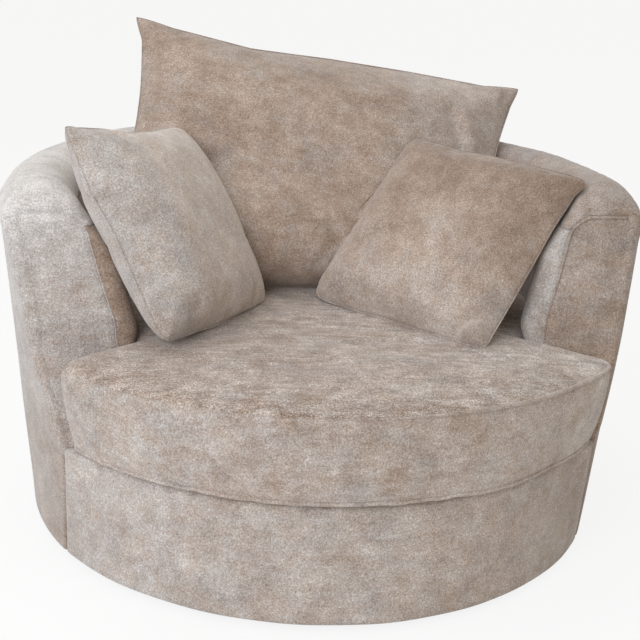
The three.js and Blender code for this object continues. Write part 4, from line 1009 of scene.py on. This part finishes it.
def make_seat_cushion(material, top_material):
    centre = np.array([0, -SEAT_FRONT_CENTRE])
    rings = []
    for plan, wall, crown, tuck in SEAT_RINGS:
        outline = centre + (seat_outline(SEAT_TIP_TUCK * tuck) - centre) * plan
        rings.append(at_height(outline, SEAT_BOTTOM + SEAT_THICKNESS * wall + SEAT_CROWN * crown))
    grid = np.array(rings)
    rows, columns = grid.shape[:2]
    low, high = SEAT_LOW_SEAM_RING, SEAT_HIGH_SEAM_RING
    normals = grid_normals(grid, True)
    swell = ripple(grid, scale=(9, 9, 9), seed=11) * SEAT_SWELL
    swell[:low] = 0
    swell[high + 1:] += ripple(grid, scale=(5, 14, 5), seed=13)[high + 1:] * SEAT_SAG
    pucker = np.maximum(ripple(grid, scale=(42, 42, 9), seed=12), 0) * SEAT_PUCKER
    near_seam = np.zeros(rows)
    near_seam[low:low + len(LOW_PUCKERS)] = LOW_PUCKERS
    near_seam[high - len(HIGH_PUCKERS):high] = HIGH_PUCKERS
    grid = grid + normals * (swell - pucker * near_seam[:, None])[..., None]
    points = clear_of_barrel(grid.reshape(-1, 3), SEAT_GAP)
    faces = grid_faces(rows, columns, closed=True, flip=True)
    bottom = len(points)
    points = np.concatenate([points, [[*centre, SEAT_BOTTOM], [*centre, points[-1, 2]]]])
    last = (rows - 1) * columns
    for column in range(columns):
        after = (column + 1) % columns
        faces.append((bottom, column, after))
        faces.append((bottom + 1, last + after, last + column))
    piece = attach(add_mesh("seat_cushion_fabric", points, faces, material), "seat_cushion",
                   ["seat_cushion_cover", "seat_cushion_zip", "seat_cushion_core"])
    piece.data.materials.append(top_material)
    for polygon in piece.data.polygons:
        if min(polygon.vertices) >= high * columns:
            polygon.material_index = 1
    for name, ring in (("low", low), ("high", high)):
        seam = points[ring * columns:(ring + 1) * columns]
        fullness = np.ones(columns)
        if name == "high":
            rise = smooth_step(seam[:, 0], *HIGH_PIPING_RISE)
            fullness = HIGH_PIPING_LEAST + (1 - HIGH_PIPING_LEAST) * rise
        seam = seam + normals[ring] * (SEAT_PIPING_STAND * fullness)[:, None]
        tube(f"seat_{name}_piping", seam, SEAT_PIPING_RADIUS, material, "seat_cushion",
             closed=True, fullness=fullness)
    return piece


# Loose cushions

SIMULATION_FRAMES = 20
CLOTH_SETTINGS = {"quality": 5, "mass": 0.3, "tension_stiffness": 12, "compression_stiffness": 12,
                  "shear_stiffness": 4, "bending_stiffness": 0.3, "use_pressure": True,
                  "uniform_pressure_force": 4.0}
MOVE_LIMIT = 0.026  # that the cloth may move from the plain form
CUSHION_SEAM_RADIUS = 0.0012
SEAM_CREASE = 0.9
CUSHION_GAP = 0.0012  # from what a cushion lies on
CROWN_POWER = 0.47  # lower is blunter at the edges
CORNER_PULL = 0.010  # by which the corners are rounded off
BELLY_RISE = (0.3, 0.95)  # share of the way from the middle down, where the belly comes
WAVE_STOPS = (-1, -0.8, -0.4, 0, 0.4, 0.8, 1)
MILLIMETRES = 1000  # to the metre

# Each cushion's corners are top left, top right, bottom right, bottom left. counts are its faces
# across and up, drawn_in how far its edges bend in, slump how much of its fullness sinks and belly
# how much fuller its front is near the seat. waves say how far each edge stands out from its plain
# curve, in mm, from its left or lower corner on.
BACK_FORM = {
    "corners": ((-0.358, 0.395, 0.925), (0.478, 0.338, 0.804),
                (0.384, 0.075, 0.419), (-0.425, 0.085, 0.465)),
    "thickness": 0.175, "counts": (104, 56), "drawn_in": (0.07, 0.02), "slump": 0.12, "belly": 1.05,
    "waves": {"left": (4, 0, 0, 6, -1, -4, 13), "right": (0, 0, 0, -2, -2, 3, 14),
              "top": (18, 0, -13, -3, 0, -3, 11), "bottom": (20, 26, 34, 34, 26, 8, 0)}}
SCATTER = {"thickness": 0.145, "counts": (60, 60), "drawn_in": (0.035, 0.03), "slump": 0}
LEFT_FORM = {
    **SCATTER, "belly": 0.25,
    "corners": ((-0.490, -0.185, 0.802), (-0.279, 0.165, 0.742),
                (-0.121, 0.010, 0.424), (-0.316, -0.335, 0.446)),
    "waves": {"left": (0, 10, 10, 8, 22, 12, 12), "right": (12, 14, 18, 18, 16, 10, 0),
              "top": (8, 0, -1, -8, -8, -2, 2), "bottom": (0, 0, 8, 18, 28, 32, 28)}}
RIGHT_FORM = {
    **SCATTER, "belly": 0.20,
    "corners": ((0.213, 0.165, 0.730), (0.500, -0.103, 0.699),
                (0.271, -0.308, 0.422), (-0.012, 0.0, 0.435)),
    "waves": {"left": (0, 4, 11, 13, 9, 7, 0), "right": (0, -3, 0, 0, -3, -1, 13),
              "top": (2, 0, 0, 6, 7, 5, 3), "bottom": (6, 8, 10, 9, 10, 12, 8)}}

# Folds: a line of places, from -1 to 1 across and up, its width and its depth, below 0 for a ridge
BACK_FOLDS = (
    (((0.66, 0.53), (0.77, 0.22)), 0.016, 0.010),
    (((0.80, 0.53), (0.96, 0.32)), 0.014, 0.009),
    (((0.73, 0.55), (0.86, 0.30)), 0.016, -0.006),
    (((-0.90, 0.85), (-0.90, 0.10)), 0.030, -0.006))
LEFT_FOLDS = (
    (((-0.45, 0.87), (-0.37, 0.75), (-0.26, 0.64)), 0.012, 0.009),
    (((-0.58, 0.40), (-0.58, 0.17), (-0.53, -0.16), (-0.50, -0.45), (-0.53, -0.71)), 0.060, -0.010),
    (((-0.92, -0.67), (-0.80, -0.78), (-0.61, -0.84)), 0.012, 0.008))
RIGHT_FOLDS = (
    (((0.77, 0.47), (0.90, 0.35)), 0.012, 0.008),
    (((0.84, 0.25), (0.97, 0.17)), 0.012, 0.007),
    (((0.76, 0.99), (0.93, 0.85)), 0.012, 0.008),
    (((-0.42, -0.86), (-0.27, -0.95)), 0.014, 0.006),
    (((0.70, -0.95), (0.79, -0.80), (0.89, -0.72), (0.99, -0.76)), 0.013, 0.018),
    (((0.84, -0.93), (0.93, -0.86)), 0.028, -0.030))

# How much each cushion's panels grow, and how deep in a neighbour its points are looked for
BACK_GROWTH = 0.012
SCATTER_GROWTH = 0.02
DEPTH_IN_SEAT = 0.09
DEPTH_IN_REST = 0.06


class Pillow:
    """A knife-edge cushion between four corners, as points of a closed mesh. Its back has all the
    points of the seam, and its front the rest."""

    def __init__(self, corners, thickness, counts, drawn_in, slump, belly, waves):
        top_left, top_right, bottom_right, bottom_left = (np.array(corner) for corner in corners)
        across = top_right + bottom_right - top_left - bottom_left
        up = top_left + top_right - bottom_left - bottom_right
        normal = np.cross(across, up)
        self.normal = normal / np.linalg.norm(normal)
        self.half_size = np.array([np.linalg.norm(across), np.linalg.norm(up)]) / 4
        across_count, up_count = counts
        i, j = np.indices((across_count + 1, up_count + 1))
        back = i * (up_count + 1) + j
        front = back.copy()
        front[1:-1, 1:-1] = back.size + np.arange(front[1:-1, 1:-1].size).reshape(across_count - 1, -1)
        self.seam = np.concatenate([back[:-1, 0], back[-1, :-1], back[:0:-1, -1], back[0, :0:-1]]).tolist()
        self.faces = []
        for ids, order in ((back, -1), (front, 1)):
            quads = np.stack([ids[:-1, :-1], ids[1:, :-1], ids[1:, 1:], ids[:-1, 1:]], axis=-1)
            self.faces += quads.reshape(-1, 4)[:, ::order].tolist()
        place = np.stack([2 * i / across_count - 1, 2 * j / up_count - 1], axis=-1)
        self.shares = np.concatenate([place.reshape(-1, 2), place[1:-1, 1:-1].reshape(-1, 2)])
        self.sides = np.where(np.arange(len(self.shares)) < back.size, -1, 1)
        a, b = self.shares.T
        pull = CORNER_PULL * (a * b) ** 10
        u = (1 + a * (1 - pull / self.half_size[0]) * (1 - drawn_in[0] * (1 - b * b))) / 2
        v = (1 + b * (1 - pull / self.half_size[1]) * (1 - drawn_in[1] * (1 - a * a))) / 2
        low = bottom_left + (bottom_right - bottom_left) * u[:, None]
        high = top_left + (top_right - top_left) * u[:, None]
        self.crown = np.maximum((1 - a * a) * (1 - b * b), 0) ** CROWN_POWER * (1 - slump * b)
        self.crown *= 1 + belly * smooth_step(-b, *BELLY_RISE) * (self.sides > 0)
        self.points = low + (high - low) * v[:, None]
        self.points += self.normal * (self.sides * self.crown * thickness / 2)[:, None]
        right, upward = across / np.linalg.norm(across), up / np.linalg.norm(up)
        edges = (("left", -right, -a, b), ("right", right, a, b),
                 ("top", upward, b, a), ("bottom", -upward, -b, a))
        for edge, outward, towards, share in edges:
            offset = np.interp(share, WAVE_STOPS, waves[edge]) / MILLIMETRES
            self.points += outward * (offset * ((1 + towards) / 2) ** 3)[:, None]

    def press(self, line, width, depth):
        """Presses a fold into the front along a line of shares. A negative depth raises a ridge."""
        place = self.shares * self.half_size
        stops = np.array(line) * self.half_size
        nearest = np.inf
        for start, stop in zip(stops[:-1], stops[1:]):
            run = stop - start
            t = np.clip((place - start) @ run / (run @ run), 0, 1)
            nearest = np.minimum(nearest, np.linalg.norm(place - start - t[:, None] * run, axis=1))
        fold = depth * np.exp(-(nearest / width) ** 2) * (self.sides > 0) * np.minimum(self.crown * 3, 1)
        self.points -= self.normal * fold[:, None]


def puffed(piece, seam, growth):
    """Blows a cushion up with Blender's cloth. Its panels grow a little, its seam stays where it is."""
    scene = bpy.context.scene
    held = piece.vertex_groups.new(name="held")
    held.add(seam, 1.0, "REPLACE")
    cloth = piece.modifiers.new("cloth", "CLOTH")
    settings = cloth.settings
    for key, value in CLOTH_SETTINGS.items():
        setattr(settings, key, value)
    settings.effector_weights.gravity = 0
    settings.vertex_group_mass = held.name
    settings.shrink_min = -growth
    cloth.collision_settings.use_collision = False
    cloth.point_cache.frame_start = 1
    cloth.point_cache.frame_end = SIMULATION_FRAMES
    for step in range(1, SIMULATION_FRAMES + 1):
        scene.frame_set(step)
    blown = piece.evaluated_get(bpy.context.evaluated_depsgraph_get()).data
    points = np.empty(len(blown.vertices) * 3)
    blown.vertices.foreach_get("co", points)
    piece.modifiers.remove(cloth)
    piece.vertex_groups.remove(held)
    scene.frame_set(1)
    return points.reshape(-1, 3)


def pushed_out(points, neighbours):
    """Moves points that lie in a neighbour out to its surface, where a cushion then lies flat."""
    moved = points.copy()
    for tree, reach in neighbours:
        for index, point in enumerate(moved):
            place, normal = tree.find_nearest(Vector(point), reach)[:2]
            if place is None:
                continue
            depth = (Vector(point) - place).dot(normal)
            if depth < CUSHION_GAP:
                moved[index] = place + normal * CUSHION_GAP
    return moved


def surface_of(*pieces):
    """A tree of the pieces' outer faces, for finding what lies in them."""
    points, faces = [], []
    for piece in pieces:
        start = len(points)
        points += [vertex.co.copy() for vertex in piece.data.vertices]
        faces += [[start + index for index in polygon.vertices] for polygon in piece.data.polygons]
    return BVHTree.FromPolygons(points, faces)


def make_pillow(name, form, folds, growth, material, neighbours):
    """A loose cushion. neighbours are what it lies on: a tree of faces, and how deep to look in it."""
    pillow = Pillow(**form)
    base = pillow.points.copy()
    seam = pillow.seam
    piece = add_mesh(name + "_fabric", base, pillow.faces, material)
    rim = set(seam)
    sharp = piece.data.attributes.new("crease_edge", "FLOAT", "EDGE")
    for edge in piece.data.edges:
        sharp.data[edge.index].value = SEAM_CREASE if rim.issuperset(edge.vertices) else 0
    step = puffed(piece, seam, growth) - base
    length = np.linalg.norm(step, axis=1, keepdims=True)
    pillow.points = base + step * np.minimum(1, MOVE_LIMIT / np.maximum(length, TINY))
    for line, width, depth in folds:
        pillow.press(line, width, depth)
    pillow.points = pushed_out(pillow.points, neighbours)
    piece.data.vertices.foreach_set("co", pillow.points.reshape(-1))
    piece.data.update()
    smooth = piece.modifiers.new("smooth", "SUBSURF")
    smooth.levels = 1
    smooth.render_levels = 1
    attach(piece, name, [name + "_cover", name + "_pad"])
    tube(name + "_seam", pillow.points[seam], CUSHION_SEAM_RADIUS, material, name, closed=True)
    return piece


# Deck, dust cover and floor felt

DECK_GAP = 0.0005  # from the barrel's wall
DECK_STAND = 0.0001
DUST_SHEET = 0.001
DISC_RINGS = 14
DISC_COLUMNS = 192
FELT_COLUMNS = 96
FELT_RIM_ROWS = 9
FELT_SHARES = np.linspace(0.02, 0.98, 20)  # of the felt's radius, from the middle out


def deck_row(angles, z):
    """Edge of the deck cloth at some angles from the front: wide before the arms, round behind."""
    wide = DECK_FRONT_RADIUS
    corner = math.asin(min(1, math.sqrt(wide ** 2 - facing_y(z) ** 2) / wide))
    return on_circle(np.where(np.abs(angles) < corner, wide, inner_radius(z) - DECK_GAP), angles)


def disc_sheet(name, hole, outline, z, thickness, node):
    """A flat sheet stretched over its carrier, from a round hole, or its middle, to its outline."""
    length = np.linalg.norm(outline, axis=1, keepdims=True)
    grid = np.array([at_height(outline / length * (hole + (length - hole) * share), z)
                     for share in np.linspace(0, 1, DISC_RINGS)])
    piece = add_mesh(name, grid.reshape(-1, 3), grid_faces(DISC_RINGS, len(outline), closed=True),
                     FINISHES["black_cloth"])
    thicken(piece, thickness)
    attach(piece, "chair_body", [node])


def make_felt():
    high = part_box("felt_pad")[1]
    edge = high.z / 2
    profile = [(high.x * share, 0.0) for share in FELT_SHARES]
    profile += [(high.x - edge + edge * math.sin(turn), edge - edge * math.cos(turn))
                for turn in np.linspace(0, math.pi, FELT_RIM_ROWS)]
    profile += [(high.x * share, high.z) for share in FELT_SHARES[::-1]]
    angles = np.linspace(0, 2 * math.pi, FELT_COLUMNS + 1)[:-1]
    grid = np.array([[(r * math.cos(a), r * math.sin(a), z) for a in angles] for r, z in profile])
    faces = grid_faces(len(profile), FELT_COLUMNS, closed=True)
    last = (len(profile) - 1) * FELT_COLUMNS
    faces.append(tuple(range(FELT_COLUMNS))[::-1])
    faces.append(tuple(range(last, last + FELT_COLUMNS)))
    piece = add_mesh("floor_felt", grid.reshape(-1, 3), faces, FINISHES["felt"])
    attach(piece, "floor_base", ["felt_pad"])


bpy.context.scene.view_settings.view_transform = "Standard"
add_camera()
add_world()
for lamp in LAMPS:
    add_lamp(*lamp)
add_floor()

cloths = {name: chenille("chenille_" + name, **look) for name, look in CLOTHS.items()}
outer_fabric = make_outer_cover(cloths["barrel"])
inner_fabric = make_inner_cover(cloths["inner"])
make_facing("left", -1, cloths["barrel"])
make_facing("right", 1, cloths["barrel"])
make_front_border(cloths["border"])
seat_fabric = make_seat_cushion(cloths["seat"], cloths["seat_top"])

resting_on = [(surface_of(seat_fabric), DEPTH_IN_SEAT),
              (surface_of(outer_fabric, inner_fabric), DEPTH_IN_REST)]
back_fabric = make_pillow("back_cushion", BACK_FORM, BACK_FOLDS, BACK_GROWTH, cloths["back"], resting_on)
resting_on.append((surface_of(back_fabric), DEPTH_IN_REST))
make_pillow("left_scatter", LEFT_FORM, LEFT_FOLDS, SCATTER_GROWTH, cloths["left"], resting_on)
make_pillow("right_scatter", RIGHT_FORM, RIGHT_FOLDS, SCATTER_GROWTH, cloths["right"], resting_on)

FINISHES = finish_cad_nodes()
full_turn = np.linspace(-math.pi, math.pi, DISC_COLUMNS + 1)[:-1]
disc_sheet("deck_fabric", 0.0, deck_row(full_turn, DECK_HEIGHT), DECK_HEIGHT + DECK_STAND, SHEET,
           "deck_cloth")
dust_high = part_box("dust_cover")[1]
disc_sheet("dust_fabric", BOTTOM_RING_INNER, on_circle(dust_high.x, full_turn), dust_high.z, DUST_SHEET,
           "dust_cover")
make_felt()
